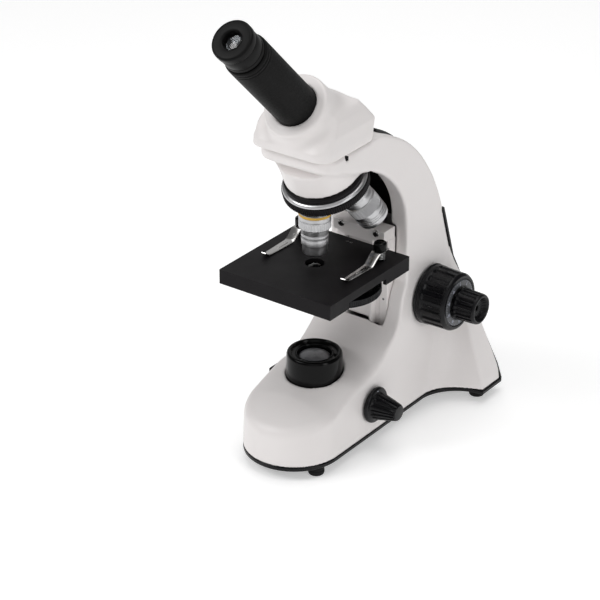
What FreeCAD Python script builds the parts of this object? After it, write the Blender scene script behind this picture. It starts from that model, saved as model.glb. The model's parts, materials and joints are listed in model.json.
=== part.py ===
import FreeCAD, Part
import math
import os
import re

import Sketcher
from FreeCAD import Placement, Rotation, Vector

# Student microscope, in millimetres. +Z is up, +X is the user's right, -Y is the eyepiece side.
# The origin is on the table under the middle of the outline, so the optical axis stands at Y = axis_y.

SIZES = {
    # stand casting
    "foot_rise": 7.0, "plate_thick": 3.0, "casting_top": 228.5, "wall": 4.0,
    "nose_round": 35.0, "nose_front": 57.7, "base_side": 35.0, "valley_start": 82.0,
    "flare_side": 66.0, "flare_front": 111.0, "flare_rise": 10.5, "tail_rear": 135.0, "tail_top": 103.5,
    "tail_top_y": 119.5, "tail_side": 32.0, "arm_side": 30.5, "arm_front": 62.5, "arch_top": 207.5,
    "head_end": 28.0, "head_end_low": 218.5, "knee_y": 27.0,
    "nose_low": 30.5, "slot_side": 17.0, "crown": 9.0, "end_round": 12.0,
    # rear cover
    "cover_thick": 2.2, "cover_proud": 1.2, "cover_side": 20.0, "cover_wide_top": 145.5, "cover_start": 40.0,
    # feet, lamp
    "foot_radius": 5.6, "foot_front_x": 26.2, "foot_front_y": 33.7, "foot_rear_x": 54.9, "foot_rear_y": 120.6,
    "lamp_radius": 19.5, "lamp_top": 70.5, "lamp_seat": 44.0, "lens_radius": 11.5,
    # nosepiece: the turret's axis leans back and meets the optical axis at cross_z
    "turret_tilt": 21.0, "cross_z": 220.8, "cone_depth": 23.0, "cone_radius": 25.4, "cone_top_radius": 29.5,
    "turret_radius": 28.4, "turret_axle": 3.2, "seat_distance": 38.5, "objective_radius": 10.9,
    # head, tube and eyepiece along the inclined axis
    "tube_tilt": 45.0, "tube_cross": 235.0, "head_side": 29.5, "head_top_side": 25.0, "neck_radius": 22.5,
    "neck_reach": 31.5, "tube_radius": 14.8, "tube_bore": 11.7, "tube_reach": 103.0, "eyepiece_reach": 122.0,
    "cap_radius": 13.9, "cap_bevel": 1.2, "barrel_radius": 11.62,
    # stage and its slide
    "stage_top": 136.5, "stage_half": 45.0, "stage_thick": 3.5, "stage_skirt": 10.4, "stage_wall": 2.5,
    "aperture": 6.6, "clip_x": 32.3, "clip_y": 29.1, "clip_lift": 6.4, "clip_tip": 13.7,
    "guide_front": 50.0, "guide_low": 72.0, "guide_top": 145.0, "guide_side": 11.6, "window_side": 9.5,
    "bridge_side": 21.0, "bar_high": 8.0, "rail_in": 14.7, "rail_front": 55.0, "rail_low": 67.0,
    "wheel_radius": 28.0, "wheel_offset": 12.0,
    # focusing drive
    "shaft_y": 89.5, "shaft_z": 87.0, "knob_inside": 32.8, "coarse_radius": 20.6, "flange_rise": 1.0,
    "coarse_length": 24.9, "fine_radius": 11.4, "fine_length": 17.5, "sleeve_radius": 3.6, "fine_shaft_radius": 2.0,
    "pinion_radius": 4.6, "travel_down": 12.0,
    # lamp controls
    "dimmer_y": 20.0, "dimmer_z": 31.5, "dimmer_radius": 12.8, "dimmer_length": 18.0,
    "rocker_y": 3.0, "rocker_z": 38.0, "rocker_high": 13.0, "rocker_wide": 8.5,
    # clearances
    "running": 0.05, "gap": 0.3,
}
S = SIZES
SIN_TUBE = math.sin(math.radians(S["tube_tilt"]))
COS_TUBE = math.cos(math.radians(S["tube_tilt"]))
FRONT_REACH = (S["eyepiece_reach"] - S["cap_bevel"]) * SIN_TUBE + S["cap_radius"] * COS_TUBE
S["axis_y"] = (FRONT_REACH - S["tail_rear"] - S["cover_proud"]) / 2
BASE_Z = S["foot_rise"] + S["plate_thick"]
ACROSS = Vector(1, 0, 0)
ALONG = Vector(0, 1, 0)
UP = Vector(0, 0, 1)
RIGHTWARD = Rotation(ALONG, 90)
LEFTWARD = Rotation(ALONG, -90)
TUBEWARD = Rotation(ACROSS, S["tube_tilt"])
TURRETWARD = Rotation(ACROSS, S["turret_tilt"])

doc = FreeCAD.newDocument("microscope")
sheet = doc.addObject("Spreadsheet::Sheet", "sizes")
for row, (name, value) in enumerate(S.items(), 1):
    sheet.set(f"A{row}", name)
    sheet.set(f"B{row}", str(value))
    sheet.setAlias(f"B{row}", name)
doc.recompute()
SUBPARTS = []


# ---------------------------------------------------------------- building blocks

def bound(formula):
    """A formula in sheet names, written as a FreeCAD expression."""
    return re.sub(r"[a-z_]+", lambda word: "sizes." + word[0] if word[0] in S else word[0], str(formula))


def bind(obj, **formulas):
    for prop, formula in formulas.items():
        obj.setExpression(prop, bound(formula))
    return obj


def place(obj, x=0, y=0, z=0, turn=None):
    """Put obj at x, y, z, where y counts from the optical axis."""
    obj.Placement = Placement(Vector(0, 0, 0), turn or Rotation())
    for key, formula in (("x", x), ("y", f"axis_y + {y}"), ("z", z)):
        obj.setExpression(f".Placement.Base.{key}", bound(formula))
    return obj


def name_it(obj, label):
    obj.Label = label
    SUBPARTS.append(obj)
    return obj


def sketch_on(body, role, outline):
    """A closed sketch of straight sides whose corners are bound to the sheet."""
    sketch = body.newObject("Sketcher::SketchObject", "outline")
    plane = [item for item in body.Origin.OriginFeatures if item.Role == role][0]
    sketch.AttachmentSupport = (plane, [""])
    sketch.MapMode = "FlatFace"
    count = len(outline)
    turn = 2 * math.pi / count
    start = [Vector(math.cos(turn * k) + 2, math.sin(turn * k) + 2, 0) for k in range(count)]
    for k in range(count):
        sketch.addGeometry(Part.LineSegment(start[k], start[(k + 1) % count]), False)
    for k in range(count):
        sketch.addConstraint(Sketcher.Constraint("Coincident", k, 2, (k + 1) % count, 1))
    for k, corner in enumerate(outline):
        for kind, formula, value in (("DistanceX", corner[0], start[k].x), ("DistanceY", corner[1], start[k].y)):
            index = sketch.addConstraint(Sketcher.Constraint(kind, k, 1, value))
            sketch.setExpression(f"Constraints[{index}]", bound(formula))
    return sketch


def turned(label, outline, **where):
    """A body turned about its own Z axis from (radius, height) corners."""
    body = doc.addObject("PartDesign::Body", label or "ring")
    revolution = body.newObject("PartDesign::Revolution", "turning")
    revolution.Profile = sketch_on(body, "XZ_Plane", outline)
    revolution.ReferenceAxis = (revolution.Profile[0], ["V_Axis"])
    revolution.Angle = 360
    place(body, **where)
    return name_it(body, label) if label else body


def padded(label, role, outline, length, **where):
    """A body extruded both ways from an origin plane."""
    body = doc.addObject("PartDesign::Body", label)
    pad = body.newObject("PartDesign::Pad", "pad")
    pad.Profile = sketch_on(body, role, outline)
    pad.Midplane = True
    bind(pad, Length=length)
    place(body, **where)
    return name_it(body, label)


def cylinder(radius, height, **where):
    return place(bind(doc.addObject("Part::Cylinder", "round"), Radius=radius, Height=height), **where)


def box(wide, deep, high, **where):
    """A box centred on x and y, standing on z."""
    block = bind(doc.addObject("Part::Box", "block"), Length=wide, Width=deep, Height=high)
    corner = {"x": f"{where.get('x', 0)} - ({wide}) / 2", "y": f"{where.get('y', 0)} - ({deep}) / 2"}
    return place(block, **{**where, **corner})


def joined(label, shapes):
    fuse = doc.addObject("Part::MultiFuse", "joined")
    fuse.Shapes = shapes
    return name_it(fuse, label) if label else fuse


def grouped(label, shapes):
    group = doc.addObject("Part::Compound", "group")
    group.Links = shapes
    return name_it(group, label)


def cut(label, base, tools):
    result = doc.addObject("Part::Cut", "cut")
    result.Base = base
    result.Tool = tools[0] if len(tools) == 1 else joined(None, tools)
    return name_it(result, label) if label else result


def feature(label, shape):
    """A sub-part whose free-form shape is worked out in code from the sheet's values."""
    obj = doc.addObject("Part::Feature", label)
    obj.Shape = shape
    obj.Placement = Placement(Vector(0, S["axis_y"], 0), Rotation())
    return name_it(obj, label)


# ---------------------------------------------------------------- the stand casting

def lines(points):
    return [Part.LineSegment(a, b).toShape() for a, b in zip(points, points[1:])]


def smooth(points):
    curve = Part.BSplineCurve()
    curve.interpolate(points)
    return curve.toShape()


def between(start, end, shares):
    """Points placed by their shares of the way from start to end, across and up."""
    span = end - start
    return [start + Vector(0, span.y * across, span.z * upward) for across, upward in shares]


def grown(face, distance):
    """A flat face with its outline moved outward, or inward where distance is negative."""
    return face.makeOffset2D(distance).toNurbs().Faces[0] if distance else face


def side_face(floor=BASE_Z):
    """The casting seen from the side: base, tail, bowed back, head end, arch and nose."""
    top = S["casting_top"]
    knee = Vector(0, S["knee_y"], top - 1)
    tail = Vector(0, S["tail_top_y"], S["tail_top"])
    back = between(knee, tail, [(0, 0), (0.33, 0.12), (0.58, 0.30), (0.79, 0.54), (0.93, 0.83), (1, 1)])
    low_rear = Vector(0, S["tail_rear"], BASE_Z + S["flare_rise"])
    arch_end = Vector(0, 3, S["arch_top"])
    arch_side = Vector(0, S["arm_front"], S["stage_top"])
    arch = between(arch_end, arch_side, [(0, 0), (0.43, 0.11), (0.79, 0.37), (0.95, 0.68), (1, 1)])
    arm_foot = Vector(0, S["arm_front"], 104)
    nose = Vector(0, -S["nose_front"] - 2, S["nose_low"])
    slope = between(arm_foot, nose, [(0, 0), (0.05, 0.22), (0.17, 0.46), (0.38, 0.66), (0.62, 0.80), (1, 1)])
    edges = lines([Vector(0, -S["nose_front"] - 2, floor), Vector(0, S["tail_rear"], floor), low_rear, tail])
    edges += [smooth(back)]
    edges += lines([knee, Vector(0, S["knee_y"] - 8, top), Vector(0, -S["head_end"], top),
                    Vector(0, -S["head_end"], S["head_end_low"]), arch_end])
    edges += [smooth(arch)]
    edges += lines([arch_side, arm_foot])
    edges += [smooth(slope)]
    edges += lines([nose, Vector(0, -S["nose_front"] - 2, floor)])
    return Part.Face(Part.Wire(Part.__sortEdges__(edges)))


def front_outline():
    """The back seen square on: a slim arm whose tail spreads out to the wide base."""
    half = [Vector(S["arm_side"], 0, S["casting_top"]), Vector(S["tail_side"], 0, S["tail_top"]),
            Vector(S["flare_side"], 0, BASE_Z)]
    other = [Vector(-p.x, 0, p.z) for p in reversed(half)]
    return Part.Face(Part.makePolygon(half + other + half[:1]))


def plan_wire(height, side, valley_start, wing_side, wing_front, rear, inset):
    """The casting cut level: round nose, straight sides, hollow valleys and two wings behind them."""
    x = side - inset
    wing = wing_side - inset
    round_start = -S["nose_front"] + S["nose_round"]
    reach = wing_front - valley_start
    spread = wing - x
    shares = [(0, 0), (0.08, 0.34), (0.38, 0.75), (1, 1)]
    valley = [Vector(x + spread * out, valley_start + inset + reach * back, height) for out, back in shares]
    nose_tip = Vector(0, -S["nose_front"] + inset, height)
    nose = Part.Arc(Vector(-x, round_start, height), nose_tip, Vector(x, round_start, height)).toShape()
    right = lines([Vector(x, round_start, height), valley[0]]) + [smooth(valley)]
    right += lines([valley[-1], Vector(wing, rear - inset, height)])
    back = lines([Vector(wing, rear - inset, height), Vector(-wing, rear - inset, height)])
    valley = [Vector(-p.x, p.y, height) for p in reversed(valley)]
    left = lines([Vector(-wing, rear - inset, height), valley[0]]) + [smooth(valley)]
    left += lines([valley[-1], Vector(-x, round_start, height)])
    return Part.Wire([nose] + right + back + left)


def base_wire(height, inset=0):
    return plan_wire(height, S["base_side"], S["valley_start"], S["flare_side"], S["flare_front"],
                     S["tail_rear"] + 1, inset)


def swept_block(inset):
    """The arm and base as wide as the level cuts allow and as deep as the side outline, drawn in by inset."""
    top = S["casting_top"]
    open_below = 10 if inset else 0
    neck = plan_wire(S["tail_top"], S["tail_side"], S["flare_front"] - 8, S["tail_side"] + 0.3,
                     S["flare_front"] + 2, S["tail_rear"] + 1, inset)
    lower = Part.makeLoft([base_wire(BASE_Z - open_below / 10, inset), neck], True, True)
    low = S["tail_side"] - inset
    high = S["arm_side"] - inset
    arm = Part.makePolygon([Vector(low, -100, S["tail_top"]), Vector(high, -100, top + 1),
                            Vector(-high, -100, top + 1), Vector(-low, -100, S["tail_top"]),
                            Vector(low, -100, S["tail_top"])])
    upper = Part.Face(arm).extrude(Vector(0, 300, 0))
    outline = grown(side_face(BASE_Z - open_below), -inset)
    side = outline.translated(Vector(-100, 0, 0)).extrude(Vector(200, 0, 0))
    return side.common(lower.fuse(upper))


def crown_block():
    """Everything under a crowned roof over the nose, so that its top falls away to both sides."""
    reach = S["nose_front"] + 6
    half = S["base_side"] + 1
    sections = []
    for share, rise in ((0, 0.9), (0.35, 1.0), (0.7, 1.0), (1, 0.6)):
        y = -reach + share * (S["arm_front"] - 6 + reach)
        edge_z = S["nose_low"] - 6 + 43 * share ** 1.9
        high = Vector(0, y, edge_z + S["crown"] * rise + 3)
        arc = Part.Arc(Vector(half, y, edge_z), high, Vector(-half, y, edge_z)).toShape()
        under = lines([Vector(-half, y, edge_z), Vector(-half, y, 0), Vector(half, y, 0), Vector(half, y, edge_z)])
        sections.append(Part.Wire([arc] + under))
    roof = Part.makeLoft(sections, True)
    behind = Part.makeBox(200, 200, 300, Vector(-100, S["arm_front"] - 6, -10))
    over = Part.makeBox(200, 100, 200, Vector(-100, -S["head_end"] - 5, S["arch_top"] - 30))
    return roof.fuse([behind, over])


def on_turret_axis(depth):
    lean = math.radians(S["turret_tilt"])
    return Vector(0, depth * math.sin(lean), S["cross_z"] - depth * math.cos(lean))


TURRET_AXIS = Vector(0, math.sin(math.radians(S["turret_tilt"])), -math.cos(math.radians(S["turret_tilt"])))


def rear_strip(outward, inward, spread=0, side_room=0):
    """A skin that follows the casting's back from the base to behind the head, with room round it where given."""
    face = side_face(BASE_Z - 20)
    skin = grown(face, outward).cut(grown(face, -inward))
    shell = skin.translated(Vector(-100, 0, 0)).extrude(Vector(200, 0, 0))
    wide = grown(front_outline(), side_room).translated(Vector(0, 60, 0)).extrude(Vector(0, 100, 0))
    low = Part.makeBox(200, 60, S["cover_wide_top"] + spread - BASE_Z, Vector(-100, 100, BASE_Z)).common(wide)
    side = S["cover_side"] + spread
    high = Part.makeBox(2 * side, 100, 100, Vector(-side, S["cover_start"] - spread, S["cover_wide_top"] - 1))
    pieces = shell.common(low.fuse(high)).Solids
    return max(pieces, key=lambda solid: solid.Volume)


def arm_shaft_holes():
    holes = Part.makeCylinder(8.0, 100, Vector(-50, S["shaft_y"], S["shaft_z"]), ACROSS)
    dimmer = Part.makeCylinder(3.5, 20, Vector(25, S["dimmer_y"], S["dimmer_z"]), ACROSS)
    high = S["rocker_high"] + 2
    wide = S["rocker_wide"] + 2
    switch = Part.makeBox(27, wide, high, Vector(-45, S["rocker_y"] - wide / 2, S["rocker_z"] - high / 2))
    screw = Part.makeCylinder(1.6, 40, Vector(12, -6, S["casting_top"] - 3), ACROSS)
    return holes.fuse([dimmer, switch, screw])


def turret_room():
    """What the turning nosepiece and its objectives sweep, with room to spare."""
    deep = S["cone_depth"]
    disc = Part.makeCylinder(S["turret_radius"] + 2.5, 22, on_turret_axis(deep), TURRET_AXIS)
    ring = Part.makeCylinder(36.5, 38, on_turret_axis(deep + 20), TURRET_AXIS)
    return disc.fuse(ring)


def make_stand_casting():
    outer = swept_block(0).common(crown_block())
    corners = [edge for edge in outer.Edges if abs(edge.CenterOfMass.y + S["head_end"]) < 0.5
               and abs(edge.tangentAt(edge.FirstParameter).z) > 0.9]
    outer = outer.makeFillet(S["end_round"], corners)
    cone_top = on_turret_axis(6)
    cone = Part.makeCone(S["cone_top_radius"], S["cone_radius"], S["cone_depth"] - 6, cone_top, TURRET_AXIS)
    room = Part.makeBox(200, 300, S["casting_top"] + 60, Vector(-100, -100, -60))
    outer = outer.fuse(cone.common(room))
    # hollow from the base plate up to the head end, open at the bottom
    hollow = swept_block(S["wall"])
    solid_end = Part.makeBox(200, 60 + S["head_end"], 60, Vector(-100, -S["head_end"] - 25, S["arch_top"] - 12))
    hollow = hollow.common(crown_block().translated(Vector(0, 0, -S["wall"]))).cut(solid_end)
    # the slot in the arch and the guide's seat, both open to the front
    slot = Part.makeBox(2 * S["slot_side"], S["wall"] + 24, S["arch_top"] - S["guide_top"] + 2,
                        Vector(-S["slot_side"], S["arm_front"] - 22, S["guide_top"] - 12))
    side = S["bridge_side"] + S["gap"]
    seat = Part.makeBox(2 * side, 26, S["guide_top"] + S["gap"] - S["rail_low"],
                        Vector(-side, S["guide_front"] - 1, S["rail_low"]))
    stem = S["guide_side"]
    path_low = S["guide_low"] - S["travel_down"] - 1
    path = Part.makeBox(2 * stem, 26, 40, Vector(-stem, S["guide_front"] + 1.2, path_low))
    # round seats on the optical axis and the turret's axis
    lamp = Part.makeCylinder(S["lamp_radius"] + 0.1, 60, Vector(0, 0, S["lamp_seat"]), UP)
    wiring = Part.makeCylinder(S["lamp_radius"] - 3, 60, Vector(0, 0, S["lamp_seat"] - 10), UP)
    ring_seat = Part.makeCylinder(22.1, 10, Vector(0, 0, S["casting_top"] - 4.2), UP)
    light_path = Part.makeCylinder(9, 60, Vector(0, 0, S["casting_top"] - 50), UP)
    axle = Part.makeCylinder(S["turret_axle"] - 1, 14, on_turret_axis(S["cone_depth"] + 1), TURRET_AXIS * -1)
    recesses = [Part.makeCylinder(S["coarse_radius"] + S["flange_rise"] + 0.6, 30, Vector(x, S["shaft_y"], S["shaft_z"]), ACROSS)
                for x in (S["knob_inside"] - S["gap"], -S["knob_inside"] + S["gap"] - 30)]
    cover_seat = rear_strip(4, S["cover_thick"] - S["cover_proud"] + 0.03, 0.05, 3)
    rooms = [hollow, slot, seat, path, lamp, wiring, ring_seat, light_path, axle, cover_seat]
    body = outer.cut(recesses + rooms + [turret_room(), arm_shaft_holes()])
    return feature("stand_casting", max(body.Solids, key=lambda solid: solid.Volume))


def make_rear_cover():
    return feature("rear_cover", rear_strip(S["cover_proud"], S["cover_thick"] - S["cover_proud"]))


def make_base():
    edge = Part.makeBox(200, 300, 20, Vector(-100, -100 - 200 + S["tail_rear"] + S["cover_proud"], 0))
    plan = Part.Face(base_wire(S["foot_rise"])).extrude(Vector(0, 0, S["plate_thick"])).common(edge)
    door = Part.makeBox(50, 58, S["plate_thick"] + 2, Vector(-25, 50, S["foot_rise"] - 1))
    feature("base_plate", plan.cut(door))
    door_block = box("50 - 2 * gap", "58 - 2 * gap", "plate_thick", y=79, z="foot_rise")
    name_it(door_block, "battery_door")
    corners = [("foot_front_x", "-foot_front_y"), ("foot_rear_x", "foot_rear_y")]
    spots = [(f"{sign} * {x}", y) for x, y in corners for sign in (1, -1)]
    grouped("rubber_feet", [cylinder("foot_radius", "foot_rise", x=x, y=y) for x, y in spots])
    spots = [(-20, -20), (20, -20), (-46, 118), (46, 118), (0, 112)]
    screws = [cylinder(3, 2.2, x=x, y=y, z="foot_rise - 2.2") for x, y in spots]
    grouped("base_plate_screws", screws)


# ---------------------------------------------------------------- lamp, power and controls

def make_lamp():
    turned("lamp_housing", [("lens_radius - 1.5", "lamp_seat"), ("lamp_radius", "lamp_seat"),
                            ("lamp_radius", "lamp_seat + 12"), ("lamp_radius - 0.8", "lamp_top - 1"),
                            ("lamp_radius - 1.8", "lamp_top"), ("lamp_radius - 3.6", "lamp_top"),
                            ("lamp_radius - 4.2", "lamp_top - 1.4"), ("lens_radius + 1.2", "lamp_top - 1.8"),
                            ("lens_radius + 0.1", "lamp_top - 3.2"), ("lens_radius + 0.1", "lamp_top - 8"),
                            ("lens_radius - 1.5", "lamp_top - 8")])
    turned("lamp_lens", [(0, "lamp_top - 8"), ("lens_radius", "lamp_top - 8"), ("lens_radius", "lamp_top - 4.6"),
                         ("lens_radius * 0.85", "lamp_top - 3.4"), ("lens_radius * 0.55", "lamp_top - 2.2"),
                         (0, "lamp_top - 1.6")])
    turned("led_board", [(0, "lamp_seat + 4"), ("lens_radius - 1.5", "lamp_seat + 4"),
                         ("lens_radius - 1.5", "lamp_seat + 5.6"), (2.5, "lamp_seat + 5.6"),
                         (2.5, "lamp_seat + 8"), (0, "lamp_seat + 10")])


def make_batteries():
    tray = box(49, 57, 8, y=79, z="foot_rise + plate_thick")
    room = box(46, 53.4, 8, y=79, z="foot_rise + plate_thick + 1.5")
    cut("battery_holder", tray, [room])
    cells = [cylinder(7.2, 50.5, x=x, y="79 - 25.2", z="foot_rise + plate_thick + 8.8", turn=Rotation(ACROSS, -90))
             for x in (-15.2, 0, 15.2)]
    grouped("batteries", cells)


def make_dimmer():
    turned("dimmer_knob", [(0, 0.5), (4, 0.5), (4, 0), ("dimmer_radius", 0), ("dimmer_radius", 2.2),
                           ("dimmer_radius - 0.8", 3), ("dimmer_radius - 3.3", 3.4),
                           ("dimmer_radius - 7.2", "dimmer_length + 2.2"),
                           ("dimmer_radius - 8.2", "dimmer_length + 3"), (0, "dimmer_length + 3")],
           x="base_side + gap", y="dimmer_y", z="dimmer_z", turn=RIGHTWARD)
    wall_inside = "base_side - wall - 1.2"
    case = cylinder(8, 9, x=f"{wall_inside} - 9", y="dimmer_y", z="dimmer_z", turn=RIGHTWARD)
    spindle = cylinder(3, "wall + gap + 2.7", x=f"{wall_inside} - 1", y="dimmer_y", z="dimmer_z",
                       turn=RIGHTWARD)
    joined("dimmer_potentiometer", [case, spindle])


def make_switch():
    flange = box(1.2, "rocker_wide + 4", "rocker_high + 4", x="-base_side - 0.6", y="rocker_y",
                 z="rocker_z - rocker_high / 2 - 2")
    case = box(13, "rocker_wide + 1.8", "rocker_high + 1.8", x="-base_side + 6.5", y="rocker_y",
               z="rocker_z - rocker_high / 2 - 0.9")
    room = box(6, "rocker_wide", "rocker_high", x="-base_side + 1", y="rocker_y", z="rocker_z - rocker_high / 2")
    cut("switch_housing", joined(None, [flange, case]), [room])
    body = padded("power_rocker", "XZ_Plane",
                  [("1.4", "-rocker_high / 2 + 0.8"), ("-1", "-rocker_high / 2 + 0.8"),
                   ("-2.6", "-rocker_high / 2 + 1"), ("-1.2", 0), ("-0.6", "rocker_high / 2 - 0.8"),
                   ("1.4", "rocker_high / 2 - 0.8")],
                  "rocker_wide - 2 * gap", x="-base_side", y="rocker_y", z="rocker_z")
    return body


# ---------------------------------------------------------------- focusing guide and drive

def make_guide():
    mid = "(bridge_side + rail_in) / 2"
    high = "guide_top - bar_high - rail_low"
    rails = [box("bridge_side - rail_in", 9, high, x=f"{sign} * {mid}", y="rail_front + 4.5", z="rail_low")
             for sign in (1, -1)]
    grouped("guide_rails", rails)
    bar = box("2 * bridge_side", 13, "bar_high", y="guide_front + 6.5", z="guide_top - bar_high")
    stem = box("2 * guide_side", 1.2, "guide_top - bar_high - guide_low", y="guide_front + 0.6", z="guide_low")
    window = box("2 * window_side", 3, "guide_top - bar_high - guide_low - 5", y="guide_front",
                 z="guide_low + 2.5")
    cheek = "guide_side - window_side"
    cheeks = [box(cheek, "rail_front - guide_front", "guide_top - bar_high - guide_low",
                  x=f"{sign} * (window_side + ({cheek}) / 2)", y="(rail_front + guide_front) / 2", z="guide_low")
              for sign in (1, -1)]
    ties = [box("rail_in - window_side", 3.9, "guide_top - bar_high - guide_low",
                x=f"{sign} * (rail_in + window_side) / 2", y="rail_front + 1.95", z="guide_low")
            for sign in (1, -1)]
    cut("guide_frame", joined(None, [bar, stem] + cheeks + ties), [window])
    heads = [cylinder(2.6, 1.0, x=x, y="guide_front", z="guide_top - 2.6", turn=Rotation(ACROSS, 90))
             for x in (14.3, -14.3)]
    grouped("guide_screws", heads)


def make_carriage():
    front = "rail_front + 4.2"
    slide = box("2 * (rail_in - 0.1)", 5, 39, y=f"{front} + 2.5", z="shaft_z - 5")
    rack_front = "(shaft_y - pinion_radius - 0.1 - 2.4)"
    neck = box(14, f"{rack_front} - rail_front - 9.2", 26, y=f"({rack_front} + rail_front + 9.2) / 2",
               z="shaft_z - 10")
    joined("coarse_carriage", [slide, neck])
    name_it(box(6, 2.4, 30, y=f"{rack_front} + 1.2", z="shaft_z - 12"), "coarse_rack")


def drive_side(name, side):
    """Coarse knob, dial and fine knob on one end of the shafts; side is 1 or -1."""
    turn = RIGHTWARD if side > 0 else LEFTWARD
    at = {"y": "shaft_y", "z": "shaft_z", "turn": turn}
    body = turned(f"coarse_knob_{name}",
                  [("sleeve_radius", 0), ("coarse_radius", 0), ("coarse_radius + flange_rise", 1),
                   ("coarse_radius + flange_rise", 4.6), ("coarse_radius", 5.4),
                   ("coarse_radius", "coarse_length - 2"),
                   ("coarse_radius - 1.6", "coarse_length"), ("coarse_radius - 3.6", "coarse_length"),
                   ("coarse_radius - 3.9", "coarse_length - 1.2"), ("sleeve_radius", "coarse_length - 1.2")],
                  x=f"{side} * knob_inside", **at)
    turned(f"fine_knob_{name}",
           [("fine_shaft_radius", 0), ("fine_radius - 1", 0), ("fine_radius", 1),
            ("fine_radius - 0.6", "fine_length - 1"),
            ("fine_radius - 1.6", "fine_length"), ("fine_radius - 4.4", "fine_length"),
            ("fine_radius - 4.8", "fine_length - 1.5"), (0, "fine_length - 1.5"), (0, 4), ("fine_shaft_radius", 4)],
           x=f"{side} * (knob_inside + coarse_length + gap)", **at)
    return body


def ribbed(body, count):
    """Cut a ring of shallow grooves along a coarse knob, which leaves its long ribs standing."""
    sketch = body.newObject("Sketcher::SketchObject", "groove")
    plane = [item for item in body.Origin.OriginFeatures if item.Role == "XY_Plane"][0]
    sketch.AttachmentSupport = (plane, [""])
    sketch.MapMode = "FlatFace"
    sketch.addGeometry(Part.Circle(Vector(21.4, 0, 0), UP, 1.6), False)
    sketch.setExpression(f"Constraints[{sketch.addConstraint(Sketcher.Constraint('Radius', 0, 1.6))}]",
                         "0.078 * sizes.coarse_radius")
    reach = sketch.addConstraint(Sketcher.Constraint("DistanceX", 0, 3, 21.4))
    sketch.setExpression(f"Constraints[{reach}]", "1.04 * sizes.coarse_radius")
    sketch.addConstraint(Sketcher.Constraint("DistanceY", 0, 3, 0))
    bind(sketch, **{".AttachmentOffset.Base.z": "6.5"})
    pocket = body.newObject("PartDesign::Pocket", "groove_cut")
    pocket.Profile = sketch
    pocket.Reversed = True
    bind(pocket, Length="coarse_length - 10")
    doc.recompute()
    pattern = body.newObject("PartDesign::PolarPattern", "grooves")
    pattern.Originals = [pocket]
    pattern.Axis = (sketch, ["N_Axis"])
    pattern.Angle = 360
    pattern.Occurrences = count
    body.Tip = pattern


def make_drive():
    for name, side in (("right", 1), ("left", -1)):
        ribbed(drive_side(name, side), 24)
    dials = [turned(None, [("fine_radius + 1", "coarse_length - 1.2"), ("coarse_radius - 4.1", "coarse_length - 1.2"),
                           ("coarse_radius - 4.1", "coarse_length + 0.2"),
                           ("fine_radius + 1", "coarse_length + 0.2")],
                    x=f"{side} * knob_inside", y="shaft_y", z="shaft_z", turn=turn)
             for side, turn in ((1, RIGHTWARD), (-1, LEFTWARD))]
    grouped("dial_rings", dials)
    span = "2 * knob_inside + 2 * coarse_length - 6"
    bar = cylinder("sleeve_radius", span, x=f"-({span}) / 2", y="shaft_y", z="shaft_z", turn=RIGHTWARD)
    bore = cylinder("fine_shaft_radius + running", f"{span} + 2", x=f"-({span}) / 2 - 1", y="shaft_y",
                    z="shaft_z", turn=RIGHTWARD)
    cut("coarse_sleeve", bar, [bore])
    fine_span = "2 * (knob_inside + coarse_length + gap + 4)"
    name_it(cylinder("fine_shaft_radius", fine_span, x=f"-({fine_span}) / 2", y="shaft_y", z="shaft_z",
                     turn=RIGHTWARD), "fine_shaft")
    pinion = cylinder("pinion_radius", 9, x=-4.5, y="shaft_y", z="shaft_z", turn=RIGHTWARD)
    hole = cylinder("sleeve_radius", 11, x=-5.5, y="shaft_y", z="shaft_z", turn=RIGHTWARD)
    cut("coarse_pinion", pinion, [hole])
    bushes = []
    for side, turn in ((1, RIGHTWARD), (-1, LEFTWARD)):
        outer = cylinder(7.98, 7, x=f"{side} * (knob_inside - 7.4)", y="shaft_y", z="shaft_z", turn=turn)
        inner = cylinder("sleeve_radius + running", 9, x=f"{side} * (knob_inside - 8.4)", y="shaft_y",
                         z="shaft_z", turn=turn)
        bushes.append(cut(None, outer, [inner]))
    grouped("shaft_bushes", bushes)


# ---------------------------------------------------------------- stage

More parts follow.
